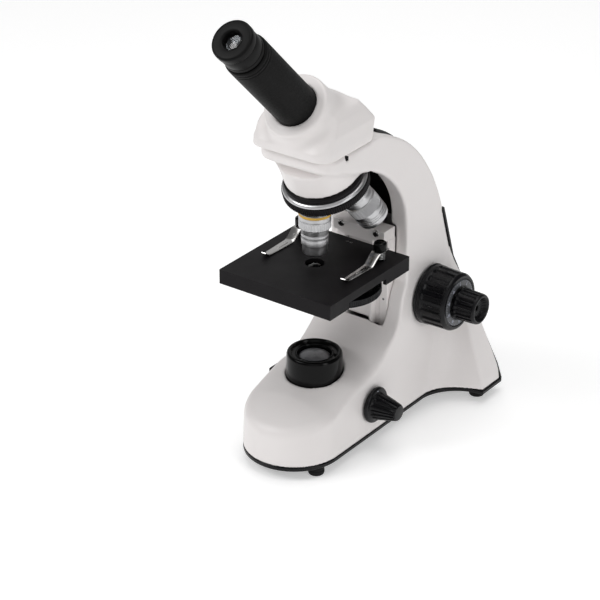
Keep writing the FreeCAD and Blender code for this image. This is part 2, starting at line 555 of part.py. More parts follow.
def make_stage():
    top = "stage_top"
    slab = box("2 * stage_half", "2 * stage_half", "stage_skirt", z=f"{top} - stage_skirt")
    room = box("2 * (stage_half - stage_wall)", "2 * (stage_half - stage_wall)", "stage_skirt",
               z=f"{top} - stage_skirt - stage_thick")
    hole = cylinder("aperture", "stage_skirt + 2", z=f"{top} - stage_skirt - 1")
    notch = box(10, 42, 4.5, x="stage_half", y=-3, z=f"{top} - stage_skirt - 0.1")
    posts = [cylinder(2.05, 12, x=f"{sign} * clip_x", y="clip_y", z=f"{top} - 9") for sign in (1, -1)]
    posts += [cylinder(1.1, 12, x=x, y=39.5, z=f"{top} - 9") for x in (1.6, -1.6)]
    rear_gap = box("2 * window_side + 4", 12, 4.2, y="stage_half", z=f"{top} - stage_skirt - 0.1")
    cut("stage_plate", slab, [room, hole, notch, rear_gap] + posts)
    padded("stage_bracket", "YZ_Plane",
           [("18", "stage_top - stage_thick"), ("stage_half - stage_wall - 1", "stage_top - stage_thick"),
            ("stage_half - stage_wall - 1", "stage_top - stage_skirt + 3.6"),
            ("guide_front + 1.5", "stage_top - stage_skirt + 3.6"), ("guide_front + 1.5", "stage_top - 3"),
            ("rail_front + 4.1", "stage_top - 3"), ("rail_front + 4.1", "guide_low + 5"),
            ("guide_front + 1.5", "guide_low + 5"), ("guide_front + 1.5", "stage_top - stage_skirt - 5"),
            ("18", "stage_top - stage_skirt - 5 + 9")],
           "2 * (window_side - 0.15)")
    turned("condenser_mount", [("aperture - 1", "stage_top - stage_thick - 12"),
                               ("aperture + 5", "stage_top - stage_thick - 12"),
                               ("aperture + 5", "stage_top - stage_thick"),
                               ("aperture + 0.1", "stage_top - stage_thick"),
                               ("aperture + 0.1", "stage_top - stage_thick - 5"),
                               ("aperture - 1", "stage_top - stage_thick - 5")])
    turned("condenser_lens", [(0, "stage_top - stage_thick - 5"), ("aperture - 0.1", "stage_top - stage_thick - 5"),
                              ("aperture - 0.1", "stage_top - 3.4"), ("aperture * 0.8", "stage_top - 1.9"),
                              ("aperture * 0.45", "stage_top - 1.0"), (0, "stage_top - 0.7")])
    screws = [cylinder(1.1, 3, x=x, y=39.5, z="stage_top - 2.9") for x in (1.6, -1.6)]
    grouped("stage_screws", screws)


def wheel_z():
    return "stage_top - stage_thick - 12 - gap"


def make_diaphragm():
    x = "wheel_offset"
    top = wheel_z()
    rim = cylinder("wheel_radius", 5.5, x=x, y="wheel_offset", z=f"{top} - 5.5")
    room = cylinder("wheel_radius - 2", 5, x=x, y="wheel_offset", z=f"{top} - 7")
    hub = cylinder(2 + 0.05, 12, x=x, y="wheel_offset", z=f"{top} - 8")
    reach = math.hypot(S["wheel_offset"], S["wheel_offset"])
    stops = []
    for k, radius in enumerate((7.0, 5.5, 4.0, 3.0, 2.0)):
        angle = math.radians(225 + 72 * k)
        dx = reach * math.cos(angle)
        dy = reach * math.sin(angle)
        stops.append(cylinder(radius, 10, x=f"{x} + {dx}", y=f"wheel_offset + {dy}", z=f"{top} - 8"))
    cut("diaphragm_wheel", rim, [room, hub] + stops)
    head = cylinder(3.6, 1.6, x=x, y="wheel_offset", z=f"{top} - 4.0")
    shank = cylinder(2, "15.5 + gap", x=x, y="wheel_offset", z=f"{top} - 3.5")
    joined("diaphragm_pivot", [head, shank])


def make_clips():
    post_parts = []
    for sign in (1, -1):
        x = f"{sign} * clip_x"
        stem = cylinder(2, "stage_skirt + 3", x=x, y="clip_y", z="stage_top - 3.4")
        cap = cylinder(4.2, 5, x=x, y="clip_y", z="stage_top + clip_lift + 1")
        post_parts.append(joined(None, [stem, cap]))
    grouped("clip_posts", post_parts)
    springs = []
    for sign in (1, -1):
        helix = Part.makeHelix(1.9, 5.2, 3.1)
        wire = Part.Wire(Part.makeCircle(0.45, Vector(3.1, 0, 0), ALONG))
        pipe = Part.Wire(helix).makePipeShell([wire], True, True)
        pipe.translate(Vector(sign * S["clip_x"], S["clip_y"], S["stage_top"] + 0.5))
        springs.append(pipe)
    feature("clip_springs", Part.makeCompound(springs))
    for name, sign in (("right", 1), ("left", -1)):
        strip = padded(f"stage_clip_{name}", "YZ_Plane",
                       [("clip_y + 6.5", "clip_lift"), ("clip_y + 6.5", "clip_lift + 0.6"),
                        ("clip_y - 4.5", "clip_lift + 0.6"), ("clip_y - 13", "0.9"), ("-clip_tip + 4", "0.9"),
                        ("-clip_tip", "2.6"), ("-clip_tip", "1.9"), ("-clip_tip + 4", "0.3"),
                        ("clip_y - 13.4", "0.3"), ("clip_y - 4.9", "clip_lift")],
                       7.0, x=f"{sign} * clip_x", z="stage_top")
        add_post_hole(strip)


def add_post_hole(body):
    sketch = body.newObject("Sketcher::SketchObject", "post_hole")
    plane = [item for item in body.Origin.OriginFeatures if item.Role == "XY_Plane"][0]
    sketch.AttachmentSupport = (plane, [""])
    sketch.MapMode = "FlatFace"
    sketch.addGeometry(Part.Circle(Vector(0, 29, 0), UP, 2.06), False)
    sketch.addConstraint(Sketcher.Constraint("Radius", 0, 2.06))
    sketch.addConstraint(Sketcher.Constraint("DistanceX", 0, 3, 0))
    index = sketch.addConstraint(Sketcher.Constraint("DistanceY", 0, 3, 29))
    sketch.setExpression(f"Constraints[{index}]", "sizes.clip_y")
    pocket = body.newObject("PartDesign::Pocket", "hole_cut")
    pocket.Profile = sketch
    pocket.Midplane = True
    pocket.Length = 40
    body.Tip = pocket


# ---------------------------------------------------------------- nosepiece and objectives

TURRET_AT = {"z": "cross_z", "turn": TURRETWARD}


def make_nosepiece():
    depth = S["cone_depth"]
    turned("nosepiece_base", [("turret_axle + running", f"-{depth}"), ("cone_radius + 0.4", f"-{depth}"),
                              ("cone_radius + 1.6", f"-{depth} - 1.2"), ("cone_radius + 1.6", f"-{depth} - 4.2"),
                              ("turret_axle + running", f"-{depth} - 4.2")], **TURRET_AT)
    turned("turret_disc", [("turret_axle + running", f"-{depth} - 4.5"), ("turret_radius - 2.2", f"-{depth} - 4.5"),
                           ("turret_radius", f"-{depth} - 6.6"), ("turret_radius - 2", f"-{depth} - 6.8"),
                           ("turret_radius - 2", f"-{depth} - 7.4"), (8, f"-{depth} - 15"),
                           ("turret_axle + running", f"-{depth} - 15")], **TURRET_AT)
    turned("turret_grip_ring", [("turret_radius - 1.7", f"-{depth} - 7"), ("turret_radius + 0.6", f"-{depth} - 7"),
                                ("turret_radius + 0.6", f"-{depth} - 12"),
                                ("turret_radius - 0.2", f"-{depth} - 12.8"),
                                ("turret_radius - 1.7", f"-{depth} - 12.8")], **TURRET_AT)
    turned("turret_axle_screw", [(0, f"-{depth} + 10"), ("turret_axle - 1", f"-{depth} + 10"),
                                 ("turret_axle - 1", f"-{depth}"), ("turret_axle", f"-{depth}"),
                                 ("turret_axle", f"-{depth} - 15.3"), (4.2, f"-{depth} - 15.3"),
                                 (4.2, f"-{depth} - 16.6"), (3.4, f"-{depth} - 17.2"), (0, f"-{depth} - 17.2")],
           **TURRET_AT)


OBJECTIVES = {
    # name: turn about the turret's axis, (radius, distance from the crossing point) down to the tip, lens radius
    "10x": (0, [(10.0, 38.5), (10.0, 45.5), (10.9, 46.2), (10.9, 57.5), (9.3, 58.0), (9.0, 69.0), (8.4, 70.0),
                (8.4, 75.5), (7.5, 76.5)], 3.6),
    "4x": (-120, [(9.6, 38.5), (9.6, 41.5), (11.0, 42.2), (11.0, 52.0), (10.2, 52.6), (11.2, 54.0), (11.2, 69.0),
                 (10.4, 72.5), (8.6, 73.5)], 5.2),
    "40x": (120, [(10.0, 38.5), (10.0, 45.5), (10.9, 46.2), (10.9, 57.5), (9.3, 58.0), (9.0, 70.0), (7.4, 73.2),
                   (6.0, 77.6), (4.2, 80.4)], 2.4),
}
BAND_TOP = 46.6
BAND_HIGH = 1.8
BAND_DEEP = 0.6


def make_objectives():
    bands = []
    lenses = []
    for name, (turn_angle, outline, lens) in OBJECTIVES.items():
        spin = Rotation(TURRET_AXIS, turn_angle)
        at = {"z": "cross_z", "turn": spin}
        tip_radius, tip = outline[-1]
        seat = [(6.0, "-seat_distance"), (outline[0][0], "-seat_distance")]
        skin = []
        band_edge = outline[2][0]
        for radius, distance in outline[1:]:
            skin.append((radius, -distance))
            if (radius, distance) == outline[2]:
                skin += [(band_edge, -BAND_TOP), (band_edge - BAND_DEEP, -BAND_TOP),
                         (band_edge - BAND_DEEP, -BAND_TOP - BAND_HIGH), (band_edge, -BAND_TOP - BAND_HIGH)]
        inside = [(lens + 0.6, -tip), (lens, -tip + 1.0), (lens, -tip + 3.0), (6.0 if lens < 5 else 6.4, -tip + 12)]
        turned(f"objective_{name}", seat + skin + inside, **at)
        bands.append(turned(None, [(band_edge - BAND_DEEP, -BAND_TOP), (band_edge + 0.05, -BAND_TOP),
                                   (band_edge + 0.05, -BAND_TOP - BAND_HIGH),
                                   (band_edge - BAND_DEEP, -BAND_TOP - BAND_HIGH)], **at))
        lenses.append(turned(None, [(0, -tip + 3), (lens, -tip + 3), (lens, -tip + 1.2), (0, -tip + 0.8)], **at))
    grouped("objective_bands", bands)
    grouped("objective_lenses", lenses)


# ---------------------------------------------------------------- head, tube and eyepiece

TUBE_AT = {"z": "tube_cross", "turn": TUBEWARD}


def make_head():
    side = padded("head_side_profile", "YZ_Plane",
                  [("-head_end - 2", "casting_top + gap"), ("18.5", "casting_top + gap"), ("27", "casting_top + 14"),
                   ("23", "casting_top + 23"), ("16", "casting_top + 29"), ("8", "casting_top + 28"),
                   ("-head_end - 2", "casting_top + 10")], "2 * head_side")
    front = padded("head_front_profile", "XZ_Plane",
                   [("head_side - 1", "casting_top + gap"), ("head_side", "casting_top + 8"),
                    ("head_top_side", "casting_top + 30"), ("-head_top_side", "casting_top + 30"),
                    ("-head_side", "casting_top + 8"), ("-head_side + 1", "casting_top + gap")], 120)
    SUBPARTS.remove(side)
    SUBPARTS.remove(front)
    block = doc.addObject("Part::MultiCommon", "head_block")
    block.Shapes = [side, front]
    neck = cylinder("neck_radius", "neck_reach", **TUBE_AT)
    under = box(90, 120, 40, z="casting_top + gap - 40")
    shell = cut(None, joined(None, [block, neck]), [under])
    room = box(26, 22, "tube_cross - casting_top + 8", y=2, z="casting_top - 1")
    seat = cylinder("tube_radius", "tube_reach", z="tube_cross + 14 * cos(tube_tilt)",
                    y="-14 * sin(tube_tilt)", turn=TUBEWARD)
    light = cylinder(9, 30, **TUBE_AT)
    cut("head_housing", shell, [room, seat, light])
    padded("head_prism", "YZ_Plane", [("-8", "tube_cross - 5.5"), ("9", "tube_cross - 5.5"),
                                      ("9", "tube_cross + 2"), ("-3", "tube_cross + 6")], 20)
    ring = cylinder(22, "3.9 + gap", z="casting_top - 3.9")
    hole = cylinder(9.5, 8, z="casting_top - 5")
    cut("head_seat_ring", ring, [hole])


def make_tube():
    turned("eyepiece_tube", [("tube_bore", 14), ("tube_radius", 14), ("tube_radius", "tube_reach - 6"),
                             ("tube_radius - 0.5", "tube_reach - 5.6"), ("tube_radius - 0.5", "tube_reach - 5"),
                             ("tube_radius", "tube_reach - 4.6"), ("tube_radius", "tube_reach - 3.4"),
                             ("tube_radius - 0.5", "tube_reach - 3"), ("tube_radius - 0.5", "tube_reach - 2.2"),
                             ("tube_radius - 0.2", "tube_reach - 1.8"), ("tube_radius - 0.8", "tube_reach"),
                             ("tube_bore", "tube_reach")], **TUBE_AT)
    reach = "eyepiece_reach"
    turned("eyepiece_barrel", [("barrel_radius - 1.6", "tube_reach - 27"), ("barrel_radius", "tube_reach - 27"),
                               ("barrel_radius", "tube_reach + gap"), ("cap_radius - 0.6", "tube_reach + gap"),
                               ("cap_radius - 0.3", "tube_reach + 1.2"), ("cap_radius - 0.5", f"{reach} - 6.4"),
                               ("barrel_radius - 1.6", f"{reach} - 6.4")], **TUBE_AT)
    turned("eyepiece_cap", [("cap_radius - 6", f"{reach} - 6.4"), ("cap_radius - 0.4", f"{reach} - 6.4"),
                            ("cap_radius", f"{reach} - 5.8"), ("cap_radius", f"{reach} - cap_bevel"),
                            ("cap_radius - cap_bevel", reach), ("cap_radius - 2.4", reach),
                            ("cap_radius - 5.4", f"{reach} - 2.8"), ("cap_radius - 6", f"{reach} - 2.8")], **TUBE_AT)
    turned("eye_lens", [(0, f"{reach} - 6"), ("cap_radius - 6.05", f"{reach} - 6"),
                        ("cap_radius - 6.05", f"{reach} - 3.8"), (4.5, f"{reach} - 3.2"), (0, f"{reach} - 2.9")],
           **TUBE_AT)
    turned("field_lens", [(0, "tube_reach - 24"), ("barrel_radius - 1.65", "tube_reach - 24"),
                          ("barrel_radius - 1.65", "tube_reach - 22"), (5, "tube_reach - 20.6"),
                          (0, "tube_reach - 20")], **TUBE_AT)


def check_and_write():
    doc.recompute()
    for obj in doc.Objects:
        if "Invalid" in obj.State or "Error" in obj.State:
            raise RuntimeError(f"{obj.Name} ({obj.Label}) failed: {obj.State}")
    for obj in SUBPARTS:
        if obj.Shape.isNull() or not obj.Shape.isValid():
            raise RuntimeError(f"{obj.Label} has no valid shape")
    os.makedirs("parts", exist_ok=True)
    for obj in SUBPARTS:
        obj.Shape.exportStep(f"parts/{obj.Label}.step")
    print(len(SUBPARTS), "sub-parts written")


make_stand_casting()
make_rear_cover()
make_base()
make_lamp()
make_batteries()
make_dimmer()
make_switch()
make_guide()
make_carriage()
make_drive()
make_stage()
make_diaphragm()
make_clips()
make_nosepiece()
make_objectives()
make_head()
make_tube()
check_and_write()
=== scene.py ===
import json
import math

import bmesh
import bpy
import numpy as np
from mathutils import Matrix, Vector


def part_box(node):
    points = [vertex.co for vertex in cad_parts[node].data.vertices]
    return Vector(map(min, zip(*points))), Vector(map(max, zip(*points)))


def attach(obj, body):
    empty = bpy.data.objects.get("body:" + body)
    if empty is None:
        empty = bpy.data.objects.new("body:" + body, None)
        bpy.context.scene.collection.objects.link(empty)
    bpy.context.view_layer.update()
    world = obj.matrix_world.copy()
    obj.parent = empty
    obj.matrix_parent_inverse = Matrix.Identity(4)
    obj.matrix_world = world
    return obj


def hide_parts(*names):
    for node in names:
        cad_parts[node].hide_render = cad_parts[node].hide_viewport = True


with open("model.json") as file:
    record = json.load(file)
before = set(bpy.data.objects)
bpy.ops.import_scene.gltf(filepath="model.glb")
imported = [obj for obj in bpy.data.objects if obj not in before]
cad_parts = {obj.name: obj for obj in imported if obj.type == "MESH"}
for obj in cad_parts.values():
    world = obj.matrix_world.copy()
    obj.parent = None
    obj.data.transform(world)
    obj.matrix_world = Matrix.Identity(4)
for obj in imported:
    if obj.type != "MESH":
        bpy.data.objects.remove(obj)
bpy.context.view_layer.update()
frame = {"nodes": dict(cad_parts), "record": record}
NODES = frame["nodes"]
MM = 0.001
LAMP_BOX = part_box("lamp_lens")
AXIS_Y = (LAMP_BOX[0].y + LAMP_BOX[1].y) / 2 / MM
STAGE_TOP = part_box("stage_plate")[1].z / MM

# Working numbers are millimetres: x across, y back from the optical axis, z up from the table.


# ---------------------------------------------------------------- materials

def new_material(name):
    material = bpy.data.materials.new(name)
    material.use_nodes = True
    tree = material.node_tree
    return material, tree, tree.nodes["Principled BSDF"]


def put(node, values):
    """Set inputs of a shader node."""
    for key, value in values.items():
        node.inputs[key].default_value = value


def object_place(tree):
    return tree.nodes.new("ShaderNodeTexCoord").outputs["Object"]


def noise(tree, scale, detail=3.0, source=None, rough=0.5):
    node = tree.nodes.new("ShaderNodeTexNoise")
    put(node, {"Scale": scale, "Detail": detail, "Roughness": rough})
    if source is None:
        source = object_place(tree)
    tree.links.new(source, node.inputs["Vector"])
    return node.outputs["Fac"]


def spread(tree, value, low, high, cut=(0.3, 0.7)):
    """Map a noise value onto low..high."""
    node = tree.nodes.new("ShaderNodeMapRange")
    put(node, {"From Min": cut[0], "From Max": cut[1], "To Min": low, "To Max": high})
    tree.links.new(value, node.inputs["Value"])
    return node.outputs["Result"]


def add_bump(tree, shader, height, depth, strength=1.0):
    """Stack one bump on top of any bump the shader already has."""
    node = tree.nodes.new("ShaderNodeBump")
    put(node, {"Strength": strength, "Distance": depth * MM})
    tree.links.new(height, node.inputs["Height"])
    socket = shader.inputs["Normal"]
    if socket.is_linked:
        tree.links.new(socket.links[0].from_socket, node.inputs["Normal"])
    tree.links.new(node.outputs["Normal"], socket)


def tint(tree, shader, colour, darker, share):
    """Mix between two close colours so that no surface is one flat tone."""
    mix = tree.nodes.new("ShaderNodeMix")
    mix.data_type = "RGBA"
    put(mix, {"A": (*colour, 1), "B": (*darker, 1)})
    tree.links.new(share, mix.inputs["Factor"])
    tree.links.new(mix.outputs["Result"], shader.inputs["Base Color"])


def plain(name, colour, rough, grain=900, depth=0.02, metal=0.0, vary=0.08, patch=60, shine=0.5):
    """A moulded, painted or plated surface: fine grain, slightly uneven gloss and tone."""
    material, tree, shader = new_material(name)
    put(shader, {"Metallic": metal, "Specular IOR Level": shine})
    cloud = noise(tree, patch, 4.0)
    darker = [channel * 0.86 for channel in colour]
    tint(tree, shader, colour, darker, spread(tree, cloud, 0.0, 1.0))
    tree.links.new(spread(tree, cloud, rough - vary / 2, rough + vary / 2), shader.inputs["Roughness"])
    add_bump(tree, shader, noise(tree, grain, 2.0), depth)
    return material


def enamel():
    """Warm white paint: a low orange peel under a soft gloss."""
    material, tree, shader = new_material("enamel")
    put(shader, {"Coat Weight": 0.12, "Coat Roughness": 0.25})
    cloud = noise(tree, 14, 3.0)
    tint(tree, shader, (0.86, 0.825, 0.815), (0.82, 0.785, 0.775), spread(tree, cloud, 0.0, 1.0))
    tree.links.new(spread(tree, noise(tree, 220, 3.0), 0.36, 0.46), shader.inputs["Roughness"])
    add_bump(tree, shader, noise(tree, 420, 2.0), 0.05)
    add_bump(tree, shader, noise(tree, 1700, 1.0), 0.012)
    return material


def turned_metal(name, colour, rough, pitch=0.22, depth=0.02):
    """Lathe-turned metal: fine rings along the axis, uneven gloss, faint handling marks."""
    material, tree, shader = new_material(name)
    shader.inputs["Metallic"].default_value = 1.0
    along = tree.nodes.new("ShaderNodeAttribute")
    along.attribute_name = "along"
    rings = tree.nodes.new("ShaderNodeTexNoise")
    rings.noise_dimensions = "1D"
    put(rings, {"Scale": 1.0 / pitch, "Detail": 2.0})
    tree.links.new(along.outputs["Fac"], rings.inputs["W"])
    darker = [channel * 0.8 for channel in colour]
    tint(tree, shader, colour, darker, spread(tree, rings.outputs["Fac"], 0.0, 1.0))
    marks = noise(tree, 300, 4.0)
    tree.links.new(spread(tree, marks, rough - 0.05, rough + 0.07), shader.inputs["Roughness"])
    add_bump(tree, shader, rings.outputs["Fac"], depth)
    return material


def glass(name, colour, rough=0.02):
    """Clear glass with a trace of unevenness."""
    material, tree, shader = new_material(name)
    put(shader, {"Transmission Weight": 1.0, "IOR": 1.5, "Coat Weight": 0.15, "Specular IOR Level": 0.25})
    cloud = noise(tree, 150, 2.0)
    tint(tree, shader, colour, [channel * 0.9 for channel in colour], spread(tree, cloud, 0.0, 1.0))
    tree.links.new(spread(tree, cloud, rough, rough + 0.03), shader.inputs["Roughness"])
    return material


def frosted():
    """The lamp's diffuser: grey, dimpled and dull under a clear skin."""
    material, tree, shader = new_material("frosted")
    put(shader, {"Coat Weight": 0.35, "Coat Roughness": 0.12})
    cells = tree.nodes.new("ShaderNodeTexVoronoi")
    cells.inputs["Scale"].default_value = 1100
    tree.links.new(object_place(tree), cells.inputs["Vector"])
    tint(tree, shader, (0.16, 0.16, 0.17), (0.06, 0.06, 0.065), spread(tree, noise(tree, 120, 3.0), 0.0, 1.0))
    shader.inputs["Roughness"].default_value = 0.35
    add_bump(tree, shader, cells.outputs["Distance"], 0.12)
    return material


def leatherette():
    """The eyepiece tube's crackle finish: raised irregular grains."""
    material, tree, shader = new_material("crackle_black")
    cells = tree.nodes.new("ShaderNodeTexVoronoi")
    cells.feature = "SMOOTH_F1"
    put(cells, {"Scale": 1500, "Randomness": 1.0})
    tree.links.new(object_place(tree), cells.inputs["Vector"])
    tint(tree, shader, (0.006, 0.006, 0.006), (0.004, 0.004, 0.004),
         spread(tree, noise(tree, 700, 3.0), 0.0, 1.0))
    shader.inputs["Specular IOR Level"].default_value = 0.1
    tree.links.new(spread(tree, noise(tree, 900, 2.0), 0.42, 0.6), shader.inputs["Roughness"])
    add_bump(tree, shader, cells.outputs["Distance"], 0.10)
    return material


MAT = {
    "painted_white": enamel(),
    "black_plastic": plain("black_plastic_look", (0.004, 0.004, 0.005), 0.27, 1100, 0.02, shine=0.22),
    "black_gloss": plain("black_gloss_look", (0.0025, 0.0025, 0.0025), 0.13, 500, 0.006, shine=0.14),
    "black_metal": plain("black_metal_look", (0.009, 0.008, 0.009), 0.42, 1400, 0.03, shine=0.1),
    "tube_black": leatherette(),
    "eyepiece_black": plain("eyepiece_black_look", (0.006, 0.006, 0.006), 0.38, 1200, 0.02, shine=0.1),
    "rubber": plain("rubber_look", (0.010, 0.010, 0.010), 0.75, 700, 0.05, shine=0.2),
    "dial_grey": plain("dial_grey_look", (0.075, 0.078, 0.086), 0.42, 1300, 0.02),
    "satin_chrome": turned_metal("satin_chrome_look", (0.60, 0.60, 0.61), 0.34),
    "polished_steel": plain("polished_steel_look", (0.60, 0.59, 0.58), 0.17, 600, 0.006, metal=1.0),
    "shaft_steel": plain("shaft_steel_look", (0.50, 0.50, 0.50), 0.3, 800, 0.01, metal=1.0),
    "brass": plain("brass_look", (0.70, 0.50, 0.22), 0.3, 800, 0.01, metal=1.0),
    "machined_aluminium": plain("aluminium_look", (0.74, 0.72, 0.71), 0.38, 1500, 0.02, metal=0.25),
    "colour_band": plain("colour_band_look", (0.78, 0.46, 0.05), 0.35, 900, 0.01),
    "optical_glass": glass("optical_glass_look", (0.92, 0.96, 1.0)),
    "frosted_lens": frosted(),
    "circuit_board": plain("board_look", (0.04, 0.16, 0.08), 0.5, 900, 0.03),
    "battery_sleeve": plain("battery_look", (0.05, 0.05, 0.06), 0.3, 500, 0.01),
    "pot_metal": plain("pot_metal_look", (0.45, 0.45, 0.45), 0.4, 900, 0.01, metal=1.0),
    # dark_inside: a near-black material used as painted shade in holes, recesses and hollows
    "dark_inside": plain("dark_inside_look", (0.010, 0.010, 0.010), 0.6, 900, 0.03),
    "numerals": plain("numeral_look", (0.60, 0.63, 0.74), 0.5, 900, 0.005),
    "band_blue": plain("band_blue_look", (0.05, 0.16, 0.50), 0.35, 900, 0.01),
}


def assign_cad_finishes():
    """Give the CAD pieces that show the same materials as the pieces made here."""
    for entry in frame["record"]["materials"]:
        for slot_material in [m for m in bpy.data.materials if m.name.split(".")[0] == entry["slot"]]:
            for node in NODES.values():
                for slot in node.material_slots:
                    if slot.material == slot_material:
                        slot.material = MAT[entry["slot"]]


# ---------------------------------------------------------------- mesh helpers

def new_object(name, data):
    """An object in the scene round a mesh, a light, a camera or a text."""
    obj = bpy.data.objects.new(name, data)
    bpy.context.scene.collection.objects.link(obj)
    return obj


def quad(low, high, count, k):
    """The face between two rings of points, at their k-th point."""
    after = (k + 1) % count
    return (low + k, low + after, high + after, high + k)


def to_metres(points):
    points = np.asarray(points, float).reshape(-1, 3)
    return (points + np.array([0, AXIS_Y, 0])) * MM


def build(name, verts, faces, slot, body, replaces=(), sharp=32, already=False):
    """A mesh piece from millimetre points, riding on a body and standing for CAD nodes."""
    mesh = bpy.data.meshes.new(name)
    mesh.from_pydata([tuple(v) for v in (verts if already else to_metres(verts))], [],
                     [tuple(f) for f in faces])
    mesh.validate()
    mesh.update()
    obj = new_object(name, mesh)
    mesh.materials.append(MAT[slot])
    mesh.shade_smooth()
    if sharp:
        mesh.set_sharp_from_angle(angle=math.radians(sharp))
    settle(obj, body, replaces)
    return obj


def settle(obj, body, replaces=()):
    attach(obj, body)
    if replaces:
        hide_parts(*replaces)


def rounded(outline, radius, closed):
    """The outline with each corner turned into three points."""
    count = len(outline)
    result = []
    for k, corner in enumerate(outline):
        if not closed and k in (0, count - 1):
            result.append(corner)
            continue
        here = Vector(corner)
        before = Vector(outline[k - 1]) - here
        after = Vector(outline[(k + 1) % count]) - here
        step = min(radius, before.length * 0.45, after.length * 0.45)
        enter = here + before.normalized() * step
        leave = here + after.normalized() * step
        middle = here * 0.5 + (enter + leave) * 0.25
        result += [tuple(enter), tuple(middle), tuple(leave)]
    return result


def frame_of(axis):
    """A rotation that takes +Z to the given axis."""
    return np.array(Vector((0, 0, 1)).rotation_difference(Vector(axis)).to_matrix())


TUBE_AXIS = (0, -math.sin(math.radians(45)), math.cos(math.radians(45)))
TUBE_BASE = (0, 0, 235)
TILT = math.radians(21)
TURRET_AXIS = (0, math.sin(TILT), -math.cos(TILT))
TURRET_BASE = (0, 0, 220.8)
SIDES = (("right", 1), ("left", -1))
TURRET_STOPS = {"10x": 0, "40x": 120, "4x": -120}
SHAFT_Y = 89.5
SHAFT_Z = 87.0
KNOB_X = 32.8
DIAL_TOP = 25.02


def lathe(name, outline, slot, body, base=(0, 0, 0), axis=(0, 0, 1), replaces=(), closed=True, soft=0.35,
          steps=128, grip=None, sharp=32):
    """A turned piece from (radius, height) corners; grip(angle, radius, height) adds to the radius."""
    rows = rounded(outline, soft, closed) if soft else list(outline)
    angles = np.arange(steps) * 2 * math.pi / steps
    rings = []
    along = []
    for radius, height in rows:
        reach = np.full(steps, float(radius))
        if grip is not None and radius > 0:
            reach = reach + grip(angles, radius, height)
        rings.append(np.stack([reach * np.cos(angles), reach * np.sin(angles), np.full(steps, height)], 1))
        along += [height] * steps
    points = np.concatenate(rings) @ frame_of(axis).T
    points = points + np.array(base, float)
    faces = []
    count = len(rows)
    for row in range(count if closed else count - 1):
        other = (row + 1) % count
        faces += [quad(row * steps, other * steps, steps, k) for k in range(steps)]
    obj = build(name, points, faces, slot, body, replaces, sharp=None)
    tidy(obj, along, sharp)
    return obj


def tidy(obj, along, sharp):
    """Weld points on the axis, face everything outward and mark sharp edges."""
    mesh = obj.data
    attribute = mesh.attributes.new("along", "FLOAT", "POINT")
    attribute.data.foreach_set("value", along)
    work = bmesh.new()
    work.from_mesh(mesh)
    bmesh.ops.remove_doubles(work, verts=work.verts, dist=1e-7)
    bmesh.ops.recalc_face_normals(work, faces=work.faces)
    work.to_mesh(mesh)
    work.free()
    mesh.set_sharp_from_angle(angle=math.radians(sharp))


def bevelled(node, width, slot, body, segments=2):
    """A copy of a CAD node with its edges eased."""
    obj = NODES[node].copy()
    obj.data = NODES[node].data.copy()
    obj.name = node + "_eased"
    for key in list(obj.keys()):
        del obj[key]
    obj.parent = None
    bpy.context.scene.collection.objects.link(obj)
    work = bmesh.new()
    work.from_mesh(obj.data)
    bmesh.ops.remove_doubles(work, verts=work.verts, dist=2e-6)
    bmesh.ops.dissolve_limit(work, angle_limit=math.radians(1), verts=work.verts, edges=work.edges)
    work.to_mesh(obj.data)
    work.free()
    obj.data.materials.clear()
    obj.data.materials.append(MAT[slot])
    modifier = obj.modifiers.new("ease", "BEVEL")
    modifier.width = width * MM
    modifier.segments = segments
    modifier.limit_method = "ANGLE"
    modifier.angle_limit = math.radians(35)
    modifier.harden_normals = False
    obj.data.shade_smooth()
    obj.data.set_sharp_from_angle(angle=math.radians(40))
    settle(obj, body, (node,))
    return obj


# ---------------------------------------------------------------- moulded bodies from distance fields

def smax(a, b, k):
    """The larger of two fields, rounded over a width of about k."""
    blend = np.maximum(k - np.abs(a - b), 0)
    return np.maximum(a, b) + blend * blend / (4 * k)


def smin(a, b, k):
    return -smax(-a, -b, k)


def curve_through(points, steps=6):
    """A Catmull-Rom line through the points."""
    points = [np.array(p, float) for p in points]
    padded = [2 * points[0] - points[1]] + points + [2 * points[-1] - points[-2]]
    result = []
    for before, a, b, after in zip(padded, padded[1:], padded[2:], padded[3:]):
        for k in range(steps):
            t = k / steps
            result.append(0.5 * (2 * a + (b - before) * t + (2 * before - 5 * a + 4 * b - after) * t * t
                                 + (3 * a - before - 3 * b + after) * t ** 3))
    result.append(points[-1])
    return [tuple(p) for p in result]


def polygon_field(outline, u, v):
    """Signed distance to a closed outline, negative inside, on a grid of u by v."""
    p = np.stack(np.meshgrid(u, v, indexing="ij"), -1)
    nearest = np.full(p.shape[:2], 1e9)
    inside = np.zeros(p.shape[:2], bool)
    for a, b in zip(outline, outline[1:] + outline[:1]):
        a = np.array(a, float)
        b = np.array(b, float)
        edge = b - a
        away = p - a
        share = np.clip((away @ edge) / max(edge @ edge, 1e-9), 0, 1)
        gap = away - share[..., None] * edge
        nearest = np.minimum(nearest, (gap ** 2).sum(-1))
        crosses = (a[1] > p[..., 1]) != (b[1] > p[..., 1])
        rise = edge[1] if abs(edge[1]) > 1e-9 else 1e-9
        inside ^= crosses & (p[..., 0] < (p[..., 1] - a[1]) * edge[0] / rise + a[0])
    return np.where(inside, -1, 1) * np.sqrt(nearest)


def lookup(table, first, step, where):
    """Straight-line reading of a table along its last axis, where has the table's rows first."""
    place = np.clip((where - first) / step, 0, table.shape[-1] - 1.001)
    low = place.astype(int)
    share = place - low
    rows = np.arange(table.shape[0])[None, :, None]
    return table[rows, low] * (1 - share) + table[rows, low + 1] * share


